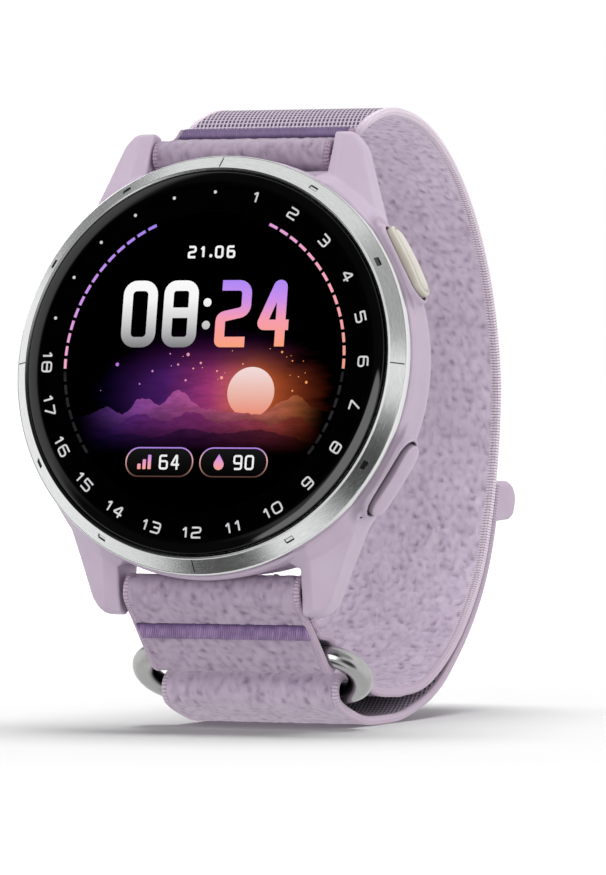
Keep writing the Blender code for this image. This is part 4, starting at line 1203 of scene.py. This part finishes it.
def display():
    """A dusk landscape across the lower half, plain numbers over it, two small fields under it, two rows of dashes at the edge."""
    edge = 15.22
    ridges = (
        (2, 0.315, ridge_line([(-14.2, -5.2), (-12.6, -5.5), (-10.4, -4.6), (-8.2, -5.2), (-6.4, -3.6), (-4.6, -4.4), (-2.6, -2.9), (-0.6, -4.3), (1.6, -5.0),
                               (3.8, -5.2), (6.4, -5.3), (8.8, -4.2), (10.4, -3.5), (12.6, -4.8), (14.2, -5.1)], 140, 5, 0.4)),
        (3, 0.321, ridge_line([(-13.5, -6.7), (-12.2, -6.9), (-9.2, -6.6), (-6.6, -5.3), (-3.8, -6.1), (-1.0, -5.1), (2.0, -6.2), (5.2, -5.9), (8.4, -6.3),
                               (10.6, -5.5), (12.4, -6.6), (13.5, -6.8)], 134, 8, 0.35)),
        (4, 0.327, ridge_line([(-12.6, -8.2), (-8.0, -7.3), (-4.6, -7.7), (-1.6, -6.8), (2.4, -7.3), (6.6, -6.9), (9.6, -7.5), (12.6, -8.3)],
                              124, 11, 0.25)),
    )
    art = Heap()
    art.add(prism(circle(0, 0, edge, 120), 0.303, 0.307), 0)
    art.add(prism(circle(5.4, -3.1, 2.55, 72), 0.309, 0.313), 1)
    rng = np.random.default_rng(21)
    placed = 0
    while placed < 30:
        x, y, size = rng.uniform(-11.5, 11.5), rng.uniform(-3.0, 1.3), 0.05 + 0.15 * rng.random() ** 3
        if math.hypot(x - 5.4, y + 3.1) < 3.0 or y < -2.2 - 0.10 * abs(x):
            continue
        art.add(prism(circle(x, y, size, 12), 0.309, 0.313), 5)
        placed += 1
    for mat, low, line in ridges:
        # one narrow upright strip per step, so that every face stays flat and small
        for (xa, ya), (xb, yb) in zip(line, line[1:]):
            foot = max(-12.0, -math.sqrt(max(edge ** 2 - max(abs(xa), abs(xb)) ** 2, 0)) + 0.2)
            if min(ya, yb) > foot + 0.1:
                art.add(prism([(xa, foot), (xb, foot), (xb, yb), (xa, ya)], low, low + 0.004), mat)
    finish(art.make("display_picture", [SKY, SUN, FAR_HILL, MID_HILL, NEAR_HILL, SPARK]), "case", "display_black")

    low, high = 0.334, 0.340
    time = Heap()
    for k, (text, x) in enumerate((("08", -5.15), ("24", 5.15))):
        for solid in figure(text, 5.75, 2.72, 1.06, low, high, gap=0.26, radius=1.15):
            time.add(solid, k, lambda q: (q[0] + x, q[1] + 4.85, q[2]))
    for y in (3.7, 6.0):
        time.add(prism(circle(0, y, 0.44, 28), low, high), 0)
    finish(time.make("display_time", [WHITE, WARM]), "case", "display_black")

    signs = Heap()

    def put(solid, x, y, mat):
        signs.add(solid, mat, lambda q: (q[0] + x, q[1] + y, q[2]))

    # date: plain numbers with a dot between
    for text, x in (("21", -1.55), ("06", 1.55)):
        for solid in figure(text, 1.05, 0.70, 0.24, low, high, gap=0.50):
            put(solid, x, 11.15, 0)
    put(prism(circle(0, 0, 0.17, 16), low, high), 0.0, 10.76, 0)
    # two long fields side by side: three rising bars and a number, a drop and a number
    for x in (-4.05, 4.05):
        field = [(q[0], q[1]) for q in rounded(7.3, 2.9, 1.42, 10)]
        put(prism(field, 0.332, 0.334), x, -10.2, 1)
        put(stroke(field, 0.13, 0.335, 0.338, True), x, -10.2, 2)
    low, high = 0.341, 0.346
    for k, tall in enumerate((0.55, 1.0, 1.45)):
        put(prism(rounded(0.36, tall, 0.08), low, high), -6.25 + 0.56 * k, -10.92 + tall / 2, 3)
    drop = [(0.55 * math.cos(t), 0.55 * math.sin(t) - 0.20) for t in np.linspace(math.radians(150), math.radians(390), 20)] + [(0.0, 0.86)]
    put(prism(drop, low, high), 2.45, -10.22, 3)
    for text, x in (("64", -2.95), ("90", 5.15)):
        for solid in figure(text, 1.30, 0.78, 0.21, low, high):
            put(solid, x, -10.2, 0)
    finish(signs.make("display_signs", [SMALL, DISC, HOOP, SIGN]), "case", "display_black")

    # dashes at the edge of the display, lit down to a point on each side and faint below it
    lit, along, rest = Heap(), [], Heap()
    for start, step, tone in ((-24.0, -5.0, (0.0, 0.5)), (24.0, 5.0, (0.40, 0.74))):
        for k in range(21):
            clock = np.radians(start + step * k + np.linspace(0, step * 0.74, 7))
            dash = stroke(np.stack([edge * np.sin(clock), edge * np.cos(clock)], axis=1), 0.30, 0.334, 0.340)
            if k < 14:
                lit.add(dash)
                along += [tone[0] + (tone[1] - tone[0]) * k / 13] * len(dash[0])
            else:
                rest.add(dash)
    sweep = outward(build("display_sweep", lit.points, lit.faces, [SWEEP], values={"along": along}, matrix=HEAD, smooth_faces=False))
    finish(sweep, "case", "display_black")
    finish(rest.make("display_edge_dashes", [FAINT]), "case", "display_black")


display()


# =============================================================================
# push buttons
# =============================================================================
def push_button(name, sign, mat, slot, node, crown, wall_shade):
    a = math.radians(sign * BUTTON_ANGLE)
    c, s = math.cos(a), math.sin(a)

    def local(along, up, out):
        r = POCKET_FLOOR + out
        return (r * c - along * s, r * s + along * c, BUTTON_Z + up)

    def outline(length, width, steps=14, side=20):
        r, half = width / 2, length / 2 - width / 2
        right = [(half + r * math.cos(t), r * math.sin(t)) for t in np.linspace(-math.pi / 2, math.pi / 2, steps + 1)]
        top = [(half - 2 * half * (k + 1) / (side + 1), r) for k in range(side)]
        return right + top + [(-u, -w) for u, w in right] + [(-u, -w) for u, w in top]

    points, faces, painted_shade = [], [], []
    # sections of the cap: (height over the pocket floor, how far the outline is drawn in); the outer face is arched
    sections = [(0.70, 0.30), (0.73, 0.16), (0.82, 0.10), (1.00, 0.07), (1.45, 0.05), (1.84, 0.03), (1.94, 0.035), (2.02, 0.055), (2.075, 0.10),
                (2.11, 0.16), (2.14, 0.26), (2.04, 0.33), (2.04, 0.50), (2.17, 0.57), (2.25, 0.74), (2.30, 1.00), (2.33, 1.24)]
    if sign < 0:  # the lower cap has a plain face
        sections[-7:] = [(2.16, 0.30), (2.20, 0.44), (2.24, 0.58), (2.27, 0.70), (2.29, 0.82), (2.32, 1.00), (2.34, 1.24)]
    n = len(outline(8, 2))
    for out, inset in sections:
        for u, w in outline(BUTTON_LENGTH - 2 * inset, BUTTON_WIDTH - 2 * inset):
            arch = crown * (1 - (2 * u / BUTTON_LENGTH) ** 2) * float(smooth(1.0, 2.0, out))
            points.append(local(u, w, out + arch))
            # painted shade: the cap's walls are painted darker down towards the pocket floor, and the groove in the
            # upper cap's face is painted dark
            groove = 0.55 * (0.3 < inset < 0.55 and sign > 0)
            painted_shade.append(max(groove, wall_shade * float(smooth(2.06, 1.86, out)) + 0.3 * float(smooth(1.75, 1.3, out))) if inset < 0.3 or groove else 0.0)
    for k in range(len(sections) - 1):
        faces += [[k * n + i, k * n + (i + 1) % n, (k + 1) * n + (i + 1) % n, (k + 1) * n + i] for i in range(n)]
    faces.append(list(range(n))[::-1])
    last, arcs, side = (len(sections) - 1) * n, 15, 20
    faces += [[last + i for i in range(arcs)], [last + arcs + side + i for i in range(arcs)]]
    upper = [last + arcs - 1 + k for k in range(side + 2)]
    lower = [last] + [last + n - 1 - k for k in range(side + 1)]
    faces += [[upper[k], upper[k + 1], lower[k + 1], lower[k]] for k in range(side + 1)]
    # stem with the groove that the clip sits in
    stem = [(0.80, 0.90), (0.80, -0.72), (0.58, -0.72), (0.58, -1.13), (0.80, -1.13), (0.80, -2.16), (0.50, -2.16), (0.50, -2.54),
            (0.80, -2.54), (0.80, -3.22), (0.72, -3.30)]
    start = len(points)
    for r, out in stem:
        points += [local(r * math.cos(2 * math.pi * i / 32), r * math.sin(2 * math.pi * i / 32), out) for i in range(32)]
    for k in range(len(stem) - 1):
        faces += [[start + k * 32 + i, start + k * 32 + (i + 1) % 32, start + (k + 1) * 32 + (i + 1) % 32, start + (k + 1) * 32 + i]
                  for i in range(32)]
    faces += [list(range(start, start + 32)), list(range(len(points) - 32, len(points)))[::-1]]
    painted_shade += [0.0] * (len(points) - len(painted_shade))
    obj = outward(build(name, points, faces, [mat], values={"painted_shade": painted_shade}, matrix=HEAD, sharp=50))
    return finish(obj, node, slot, node)


# painted shade: a small black plug stands in for the shade inside the vent hole in the flank
vent = turned("flank_vent", [(0, 0.035), (0.11, 0.035), (0.14, 0.02), (0.14, -0.25), (0, -0.25)], INK, 20,
              HEAD @ Matrix.Translation((16.03 * MM, -14.86 * MM, -4.72 * MM)) @ Vector((0.40, -0.90, 0.15)).to_track_quat("Z", "Y").to_matrix().to_4x4())
finish(vent, "case", "lilac_polymer")

# the last number sets how dark the cap's walls are painted as shade
push_button("upper_push_button", 1, CREAM, "cream_polymer", "start_button", 0.24, 0.42)
push_button("lower_push_button", -1, LILAC, "lilac_polymer", "back_button", 0.20, 0.55)


# =============================================================================
# straps
# =============================================================================
def seen(points, x):
    """Side-view points and an offset along the bars, as part-frame points."""
    points = np.asarray(points, float)
    return np.stack([np.broadcast_to(x, points[:, 0].shape), points[:, 0] + FACE_Y, points[:, 1] + FACE_Z], axis=1)


def side_point(y, z):
    """A point of the watch's middle plane, in the side view."""
    c, s = math.cos(math.radians(LEAN)), math.sin(math.radians(LEAN))
    return np.array([y * s - z * c, y * c + z * s])


TOP_BAR, LOW_BAR = side_point(BAR_Y, BAR_Z), side_point(-BAR_Y, BAR_Z)
PIT_ACROSS, PIT_ROW = 1.45, 1.00
_pits = np.random.default_rng(4).random((4, 512, 64))


def knit_relief(u, v):
    """Height of the loop face, 0 to 1: puffy loops, with a small slanted pit in every stagger of the knit."""
    u = u + 0.40 * (value_noise(u + 40, v + 40, 1, 1.7) - 0.5)
    v = v + 0.40 * (value_noise(u + 90, v + 40, 2, 1.7) - 0.5)
    row = np.floor(u / PIT_ROW).astype(int)
    pit = np.zeros(np.shape(u))
    for dr in (-1, 0, 1, 2):
        r = row + dr
        shift = (r % 2) * 0.5
        col = np.round(v / PIT_ACROSS - shift).astype(int)
        for dc in (-1, 0, 1):
            k = col + dc
            table = _pits[:, r % 512, k % 64]
            du = u - r * PIT_ROW - 0.50 * (table[0] - 0.5)
            dv = v - (k + shift) * PIT_ACROSS - 0.60 * (table[1] - 0.5)
            turn = np.where(table[2] > 0.5, 0.55, -0.55) + (table[2] - 0.5) * 0.8
            a, b = du * np.cos(turn) + dv * np.sin(turn), -du * np.sin(turn) + dv * np.cos(turn)
            a = a + 0.35 * np.abs(b)
            pit = np.maximum(pit, (0.22 + 0.52 * table[3] ** 1.5) * np.exp(-(a / 0.24) ** 2 - (b / 0.40) ** 2))
    puff = np.cos(math.pi * u / PIT_ROW) * np.cos(2 * math.pi * v / PIT_ACROSS) * 0.08
    loops = value_noise(u / 0.75 + 20, v / 0.40 + 70, 3) - 0.5
    small = value_noise(u / 0.36 + 20, v / 0.27 + 70, 6) - 0.5
    return np.clip(0.66 + puff + 0.34 * loops + 0.26 * small - 0.80 * pit, 0, 1)


def strap(name, line, length_at, hole=None, width=None, tint=None, shift=0.0):
    """A woven band along a side-view line: loop face on the right-hand side, mesh on the left, overlocked edges.
    hole = (a point, a direction, half width, x from, x to) cuts a slot for a lever; width scales the band along its length."""
    n = normals(line)
    flat = np.linspace(-9.15, 9.15, 75)
    roll = [(9.20, -0.37), (9.24, -0.42), (9.34, -0.45), (9.51, -0.445), (9.67, -0.37), (9.765, -0.21), (9.80, 0.0), (9.765, 0.21),
            (9.67, 0.37), (9.51, 0.445), (9.34, 0.45), (9.24, 0.42), (9.20, 0.37)]
    roll_run = np.r_[0, np.cumsum(np.linalg.norm(np.diff(np.array(roll), axis=0), axis=1))]
    xs = np.r_[flat, [q[0] for q in roll], flat[::-1], [-q[0] for q in roll]]
    offsets = np.r_[np.full(len(flat), -0.39), [q[1] for q in roll], np.full(len(flat), 0.39), [-q[1] for q in roll]]
    across = np.r_[flat, roll_run, flat[::-1], roll_run]
    zone = np.r_[np.zeros(len(flat) - 1), [2] * (len(roll) + 1), np.ones(len(flat) - 1), [2] * (len(roll) + 1)].astype(int)
    count, rings = len(xs), len(line)
    u = np.repeat(length_at, count)
    x, off, v = np.tile(xs, rings), np.tile(offsets, rings), np.tile(across, rings)
    knit = np.tile(np.r_[np.ones(len(flat)), np.zeros(count - len(flat))], rings).astype(bool)
    relief = np.full(len(x), 0.6)
    relief[knit] = knit_relief(u[knit], x[knit])
    edge = smooth(9.18, 8.7, np.abs(x))
    off = off - np.where(knit, 0.17 * (relief - 0.62) * edge, 0)
    spots = np.repeat(line, count, axis=0) + np.repeat(n, count, axis=0) * off[:, None]
    spots[:, 1] = np.maximum(spots[:, 1], FLOOR + 0.01)
    points = seen(spots, (x if width is None else x * np.repeat(width, count)) + shift)
    skip = np.zeros((rings - 1, count), bool)
    walls = []
    if hole:
        spot, way, half, xa, xb = hole
        away = line - spot
        inside = np.where((np.abs(away[:, 0] * way[1] - away[:, 1] * way[0]) < half) & (away @ way > 0)
                          & (np.linalg.norm(away, axis=1) < 3.0))[0]
        i0, i1 = inside[0], inside[-1]
        k0, k1 = int(np.argmin(np.abs(flat - xa))), int(np.argmin(np.abs(flat - xb)))
        under = len(flat) + len(roll)
        mirror = lambda k: under + len(flat) - 1 - k
        skip[i0:i1, k0:k1] = True
        skip[i0:i1, mirror(k1):mirror(k0)] = True
        for i in (i0, i1):
            walls += [[i * count + k, i * count + k + 1, i * count + mirror(k + 1), i * count + mirror(k)] for k in range(k0, k1)]
        for k in (k0, k1):
            walls += [[i * count + k, (i + 1) * count + k, (i + 1) * count + mirror(k), i * count + mirror(k)] for i in range(i0, i1)]
    i, k = np.nonzero(~skip)
    j = (k + 1) % count
    faces = np.stack([i * count + k, i * count + j, (i + 1) * count + j, (i + 1) * count + k], axis=1).tolist()
    # the binding is broad where the band is free, and narrow round the bars
    broad = np.isin(k, (0, len(flat) - 2)) & ((np.zeros(rings) if tint is None else np.asarray(tint))[i] < 0.5)
    mats = np.where(broad, 2, zone[k]).tolist()
    faces += walls
    mats += [2] * len(walls)
    # cut ends, closed with strips between the two sides
    for i in (0, rings - 1):
        ring = [i * count + q for q in range(count)]
        middle_roll = len(flat) + 6
        front_half = ring[:middle_roll + 1]
        start = count - 7
        back_half = [ring[q] for q in range(start, middle_roll - 1, -1)]
        front_half = [ring[q % count] for q in range(start, start + 7)] + front_half
        # walk both halves from the -x edge to the +x edge
        f, g = front_half, back_half
        ia = ib = 0
        while ia < len(f) - 1 or ib < len(g) - 1:
            if ib == len(g) - 1 or (ia < len(f) - 1 and points[f[ia + 1], 0] <= points[g[ib + 1], 0]):
                tri = [f[ia], f[ia + 1], g[ib]]
                ia += 1
            else:
                tri = [f[ia], g[ib + 1], g[ib]]
                ib += 1
            if len(set(tri)) == 3:
                faces.append(tri)
                mats.append(2)
    obj = build(name, points, faces, [KNIT, MESH, BINDING], mats, uv=np.stack([u, v], axis=1), values={"relief": relief, "tint": np.zeros(len(x)) if tint is None else np.repeat(tint, count)})
    return outward(obj)


loop_outer = through(LOOP_OUTER)
loop_middle = loop_outer - normals(loop_outer) * (STRAP_T / 2)
wrap = np.array(arc(TOP_BAR[0], TOP_BAR[1], WRAP_R, 88, 292, 40))
folded = through([tuple(loop_middle[-1])] + FOLD)[1:]
outer_run = loop_middle + normals(loop_middle) * TAIL_GAP
outer_run = outer_run[(outer_run[:, 1] < -12.9) & (outer_run[:, 0] > 38.5) & (loop_middle[:, 1] < 0)][::-1]
outer_run = outer_run[int(np.argmin(np.abs(outer_run[:, 0] - 43.2))):]
split = int(np.argmin(np.abs(outer_run[:len(outer_run) // 2, 0] - 44.3)))
lead = through([tuple(q) for q in folded[-30::29]] + [tuple(outer_run[0]), tuple(outer_run[8])])[24:48]
whole = np.vstack([through(FLAP), wrap, through(RETURN + [tuple(loop_middle[0])])[:-1], loop_middle, folded, lead, outer_run])
whole[:, 1] = np.maximum(whole[:, 1], FLOOR + STRAP_T / 2 + 0.07)
whole, whole_at = resampled(whole, 0.25, relax=3)
# the folded-back layer lies in one easy curve from the ring to the peeling end
lower = np.zeros(len(whole))
start_of_curve = int(np.argmax((whole_at > 100) & (whole[:, 1] < -35.0) & (whole[:, 0] < 20)))
lower[start_of_curve:] = smooth(0, 6, whole_at[start_of_curve:] - whole_at[start_of_curve])
eased = whole.copy()
for _ in range(70):
    eased[1:-1] = 0.25 * eased[:-2] + 0.5 * eased[1:-1] + 0.25 * eased[2:]
lower *= smooth(whole_at[-1], whole_at[-1] - 12, whole_at)
whole = whole + (eased - whole) * lower[:, None]
whole[:, 1] = np.maximum(whole[:, 1], FLOOR + STRAP_T / 2 + 0.07)
tail = outer_run[split:]
tail_normal = normals(tail)
HINGE = tail[0] - tail_normal[0] * STRAP_T / 2

# the band is drawn in two pieces that meet under the ring: the wrist loop, and the folded-back end that peels open
under_ring = (whole_at > 100) & (whole[:, 1] < -36.2)
meet = int(np.argmax(under_ring))
lever_way = side_point(-0.81, -0.59) - side_point(0, 0)
# painted shade: the tint value darkens the band where it wraps the top bar and under the flap (2 there) and towards the
# ring (0.8); the folded end gets 0.8
loop_painted_shade = np.maximum(2 * smooth(22.0, 12.0, whole_at), 0.80 * smooth(whole_at[meet] - 62.0, whole_at[meet] - 24.0, whole_at))
loop_strap = strap("long_strap_loop", whole[:meet + 1], whole_at[:meet + 1], (TOP_BAR, lever_way, 0.55, 4.0, 6.6), tint=loop_painted_shade[:meet + 1])
finish(loop_strap, "case", "lilac_knit", "long_strap")
end_strap = strap("long_strap_end", whole[meet:], whole_at[meet:], tint=np.full(len(whole) - meet, 0.80))
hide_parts("strap_tail")
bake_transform(end_strap)

# ---- short strap: one band folded round the lower bar and the ring, its ends sewn inside -------
slope = math.radians(RING_SLOPE)
down = np.array([math.cos(slope), -math.sin(slope)])
UPPER_ROD = np.array([RING_Y, RING_Z]) - RING_ARC * down
across = unit(UPPER_ROD - LOW_BAR)
reach = float(np.linalg.norm(UPPER_ROD - LOW_BAR))
front = np.array([across[1], -across[0]])


def on_short(s, offset):
    return LOW_BAR + across * s + front * offset


def short_line():
    first = through([(4.60, 0.42), (3.35, 0.40), (2.55, -0.12), (1.45, -1.02), (0.32, -1.40)], 12)
    bar = [(1.42 * math.cos(math.radians(a)), 1.42 * math.sin(math.radians(a))) for a in np.arange(-96, -271, -6)]
    rod = [(reach + 1.50 * math.cos(math.radians(a)), 1.50 * math.sin(math.radians(a))) for a in np.arange(90, -79, -6)]
    last = through([(reach - 0.1, -1.50), (7.75, -1.12), (6.4, -0.12), (5.55, 0.36), (4.85, 0.42)], 12)
    return np.array([on_short(s, o) for s, o in np.vstack([first, bar, rod, last])])


line, at = resampled(short_line(), 0.25, relax=2)
along_short = (line - LOW_BAR) @ across
# the short strap is painted darker as shade all along its length (tint 1)
short = strap("short_strap_band", line, at + 7.3, (LOW_BAR, -front, 0.55, 4.0, 6.6), 0.988 + 0.012 * smooth(0.5, 8.0, along_short),
              np.ones(len(line)), 0.15)
finish(short, "short_strap", "lilac_knit", "short_strap")


# ---- sewn bars: dense slanted satin stitches ---------------------------------------------------
def sewn_bar(name, line, half, rise, lean, seed, painted_shade_scale=1.0, shift=0.0):
    """A band of stitches over a short side-view line; the stitches run along the line."""
    line, at = resampled(line, 0.13)
    n = -normals(line)
    rings = len(line)
    xs = np.arange(-half, half + 1e-6, 0.04)
    count = len(xs)
    t = np.repeat(np.linspace(0, 1, rings), count)
    x = np.tile(xs, rings)
    wander = 0.10 * (value_noise(x + 30, t * 3, seed, 0.9) - 0.5)
    phase = (x + lean * (t - 0.5) + wander) / 0.235
    strand = 1 - np.abs(2 * (phase - np.floor(phase)) - 1)  # 0 between stitches, 1 on top
    strand = np.sqrt(np.clip(1 - (1 - strand) ** 2, 0, 1))
    ragged = 0.06 * (value_noise(np.floor(phase) * 1.7, t * 0, seed + 1, 1.0) - 0.5)
    dome = np.sqrt(np.clip(1 - np.abs(2 * t - 1 + ragged) ** 3.2, 0, 1))
    side = smooth(half + 0.01, half - 0.30, np.abs(x))
    height = 0.01 + rise * dome * side * (0.62 + 0.38 * strand)
    # painted shade and highlight: relief is low between stitches and towards the bar's ends, high on stitch tops and on
    # a random sheen per stitch; a scale below 1 paints the whole bar darker as shade
    sheen = value_noise(np.floor(phase) * 0.7 + 11, t * 2.2, seed + 2, 1.0)
    relief = np.clip(dome * (0.06 + 0.74 * strand + 0.46 * (sheen - 0.38)) * painted_shade_scale, 0, 1)
    base = np.repeat(line, count, axis=0)
    nn = np.repeat(n, count, axis=0)
    top = seen(base + nn * height[:, None], x + shift)
    low = seen(base - nn * 0.12, x + shift)
    points = np.vstack([top, low])
    faces = []
    total = rings * count
    i, k = (a.ravel() for a in np.meshgrid(np.arange(rings - 1), np.arange(count - 1), indexing="ij"))
    quad = np.stack([i * count + k, i * count + k + 1, (i + 1) * count + k + 1, (i + 1) * count + k], axis=1)
    faces = quad.tolist() + (quad[:, ::-1] + total).tolist()
    border = ([k for k in range(count)] + [i * count + count - 1 for i in range(1, rings)]
              + [(rings - 1) * count + k for k in range(count - 2, -1, -1)] + [i * count for i in range(rings - 2, 0, -1)])
    for a, b in zip(border, border[1:] + border[:1]):
        faces.append([a, b, total + b, total + a])
    uv = np.stack([np.tile(x, 2), np.tile(np.repeat(at, count), 2)], axis=1)
    return outward(build(name, points, faces, [THREAD], uv=uv, values={"relief": np.tile(relief, 2)}))


run = np.array([on_short(s, 1.42 + 0.08 * s / reach + 0.40) for s in np.linspace(2.76, 4.98, 12)])
finish(sewn_bar("lower_sewn_bar", run, 9.40, 0.32, 0.85, 31, shift=0.18), "short_strap", "purple_thread", "lower_bartack")
flap = through(FLAP)
flap = flap - normals(flap) * (STRAP_T / 2 + 0.02)
flap = flap[(flap[:, 0] > 13.72) & (flap[:, 0] < 15.48)]
# the upper bar is painted darker as shade (scale 0.42)
finish(sewn_bar("upper_sewn_bar", flap, 9.25, 0.30, -0.85, 37, 0.42), "case", "purple_thread", "upper_bartack")


# ---- ring ---------------------------------------------------------------------------------------
def make_ring():
    wire, straight = 1.06, RING_HALF - 0.21
    path = []
    for side in (1, -1):
        for i in range(33):
            a = math.radians(-90 + 180 * i / 32)
            path.append((side * RING_ARC * math.sin(a) + RING_ARC, side * (straight + RING_ARC * math.cos(a))))
        for i in range(1, 20):
            path.append((side * RING_ARC + RING_ARC, side * (straight - 2 * straight * i / 20)))
    path = np.array(path)
    t = unit(np.roll(path, -1, axis=0) - np.roll(path, 1, axis=0))
    out = np.stack([t[:, 1], -t[:, 0]], axis=1)
    lift = np.array([-down[1], down[0]])  # square to the ring's plane
    middle = np.array([RING_ARC, 0.0])
    if float(((path - middle) * out).sum()) < 0:
        out = -out
    points, inner, count = [], [], 32
    for (u, x), (ou, ox) in zip(path, out):
        broad = 0.46 * float(smooth(straight, straight + RING_ARC, abs(x)))  # the ends are drawn out inwards
        for k in range(count):
            a = 2 * math.pi * k / count
            c, s = wire * math.cos(a), wire * math.sin(a)
            c = c * (1 + broad / wire) if c < 0 else c
            spot = UPPER_ROD + down * (u + c * ou) + lift * s
            points.append((x + c * ox, spot[0] + FACE_Y, spot[1] + FACE_Z))
            # painted shade on the inside of the wire
            inner.append(float(smooth(-0.50, -0.93, math.cos(a))))
    turns = len(path)
    faces = [[i * count + k, i * count + (k + 1) % count, ((i + 1) % turns) * count + (k + 1) % count, ((i + 1) % turns) * count + k]
             for i in range(turns) for k in range(count)]
    return finish(outward(build("strap_ring_wire", points, faces, [RING_STEEL], values={"inner": inner})), "ring", "satin_steel", "strap_ring")


make_ring()


# ---- end tab and hook tape -----------------------------------------------------------------------
def make_tab():
    run = tail[tail[:, 1] > -16.9]
    back = run - normals(run) * (STRAP_T / 2 + 0.06)
    outline = [tuple(q) for q in resampled(back, 0.5)[0]]
    outer = [(59.9, -12.70), (61.2, -13.25), (61.95, -14.40), (61.75, -15.60), (61.1, -16.55), (60.2, -16.90)]
    outer = [tuple(q) for q in through(outer, 6)]
    loop = outline + outer
    loop = [q for i, q in enumerate(loop) if np.linalg.norm(np.subtract(q, loop[i - 1])) > 0.02]
    loop = np.array(fillet(loop + loop[:2], [0] + [0.18] * len(loop) + [0], 2)[1:-1])
    centre = loop.mean(axis=0)
    stations = [(-9.3 + 0.6 * (1 - math.cos(math.radians(a))), 0.6 * (1 - math.sin(math.radians(a)))) for a in np.linspace(0, 90, 7)]
    stations += [(x, 0.0) for x in np.linspace(-8.1, 8.1, 28)]
    stations += [(-x, inset) for x, inset in stations[:7][::-1]]
    away = loop - centre
    far = np.linalg.norm(away, axis=1, keepdims=True)
    points, n = [], len(loop)
    for x, inset in stations:
        shrunk = centre + away * np.maximum(1 - inset / far, 0.2)
        points += seen(shrunk, x).tolist()
    faces = [[k * n + i, k * n + (i + 1) % n, (k + 1) * n + (i + 1) % n, (k + 1) * n + i] for k in range(len(stations) - 1) for i in range(n)]
    faces += [list(range(n)), list(range((len(stations) - 1) * n, len(stations) * n))]
    return finish(outward(build("end_tab", points, faces, [TAB_RUBBER], sharp=55)), "strap_tail", "lilac_rubber", "stopper_tab")


make_tab()


def make_hooks():
    line, at = resampled(tail[8:-6], 0.11)
    n = normals(line)
    xs = np.arange(-8.6, 8.6001, 0.11)
    rings, count = len(line), len(xs)
    u, x = np.repeat(at, count), np.tile(xs, rings)
    stagger = (np.floor(u / 0.66).astype(int) % 2) * 0.33
    hook = np.clip(np.cos(2 * math.pi * u / 0.66), 0, 1) * np.clip(np.cos(2 * math.pi * (x + stagger) / 0.66), 0, 1)
    rim = smooth(0, 0.4, np.minimum(np.minimum(u, at[-1] - u), 8.6 - np.abs(x)))
    top = np.repeat(line + n * 0.54, count, axis=0) + np.repeat(n, count, axis=0) * (0.22 * hook * rim)[:, None]
    low = np.repeat(line + n * 0.41, count, axis=0)
    points = np.vstack([seen(top, x), seen(low, x)])
    total = rings * count
    i, k = (a.ravel() for a in np.meshgrid(np.arange(rings - 1), np.arange(count - 1), indexing="ij"))
    quad = np.stack([i * count + k, i * count + k + 1, (i + 1) * count + k + 1, (i + 1) * count + k], axis=1)
    faces = quad.tolist() + (quad[:, ::-1] + total).tolist()
    border = ([k for k in range(count)] + [i * count + count - 1 for i in range(1, rings)]
              + [(rings - 1) * count + k for k in range(count - 2, -1, -1)] + [i * count for i in range(rings - 2, 0, -1)])
    faces += [[a, b, total + b, total + a] for a, b in zip(border, border[1:] + border[:1])]
    uv = np.stack([np.tile(u, 2), np.tile(x, 2)], axis=1)
    obj = outward(build("hook_tape_strip", points, faces, [HOOK], uv=uv, values={"relief": np.tile(hook, 2)}))
    return finish(obj, "strap_tail", "hook_tape", "hook_patch")


make_hooks()

# =============================================================================
# back of the case
# =============================================================================
WINDOW = [(0, -9.58), (6.40, -9.58), (6.40, -10.32), (7.50, -10.32)] + [
    tuple(q) for q in through([(7.50, -10.90), (7.36, -11.10), (6.80, -11.38), (5.9, -11.58), (4.50, -11.76), (2.4, -11.87), (0.6, -11.90)], 5)] + [(0, -11.90)]
finish(turned("sensor_window_dome", WINDOW, SENSOR_GLASS, 128, sharp=50), "case", "sensor_glass", "sensor_window")

# the nodes that keep their CAD shape get their finish here
FINISHES = {
    "back_cover": LILAC, "back_gasket": SEAL, "lens_gasket": SEAL, "display_frame": BLACK, "display_panel": INK, "gps_antenna": GILT,
    "main_board": BOARD, "sensor_board": BOARD, "radio_shield": FOIL, "vibration_motor": STEEL, "battery": FOIL,
    "charging_socket": BLACK, "start_button_seal": SEAL, "back_button_seal": SEAL, "start_switch": BLACK, "back_switch": BLACK,
}
for name, obj in NODES.items():
    mat = FINISHES.get(name, GILT if name.startswith("charge_pin") else STEEL)
    if not obj.material_slots:
        obj.data.materials.append(mat)
    for place in obj.material_slots:
        place.material = mat


def coil(node):
    """A copy of a spring node as its own object, attached to the case, with the node hidden."""
    obj = bpy.data.objects.new(node + "_coil", NODES[node].data.copy())
    bpy.context.scene.collection.objects.link(obj)
    obj.matrix_world = NODES[node].matrix_world.copy()
    finish(obj, "case", "satin_steel", node)
    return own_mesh(obj)


for word, sign in (("start", 1), ("back", -1)):
    coil(word + "_button_spring")
for word, sign in (("upper", 1), ("lower", -1)):
    coil(word + "_bar_spring")
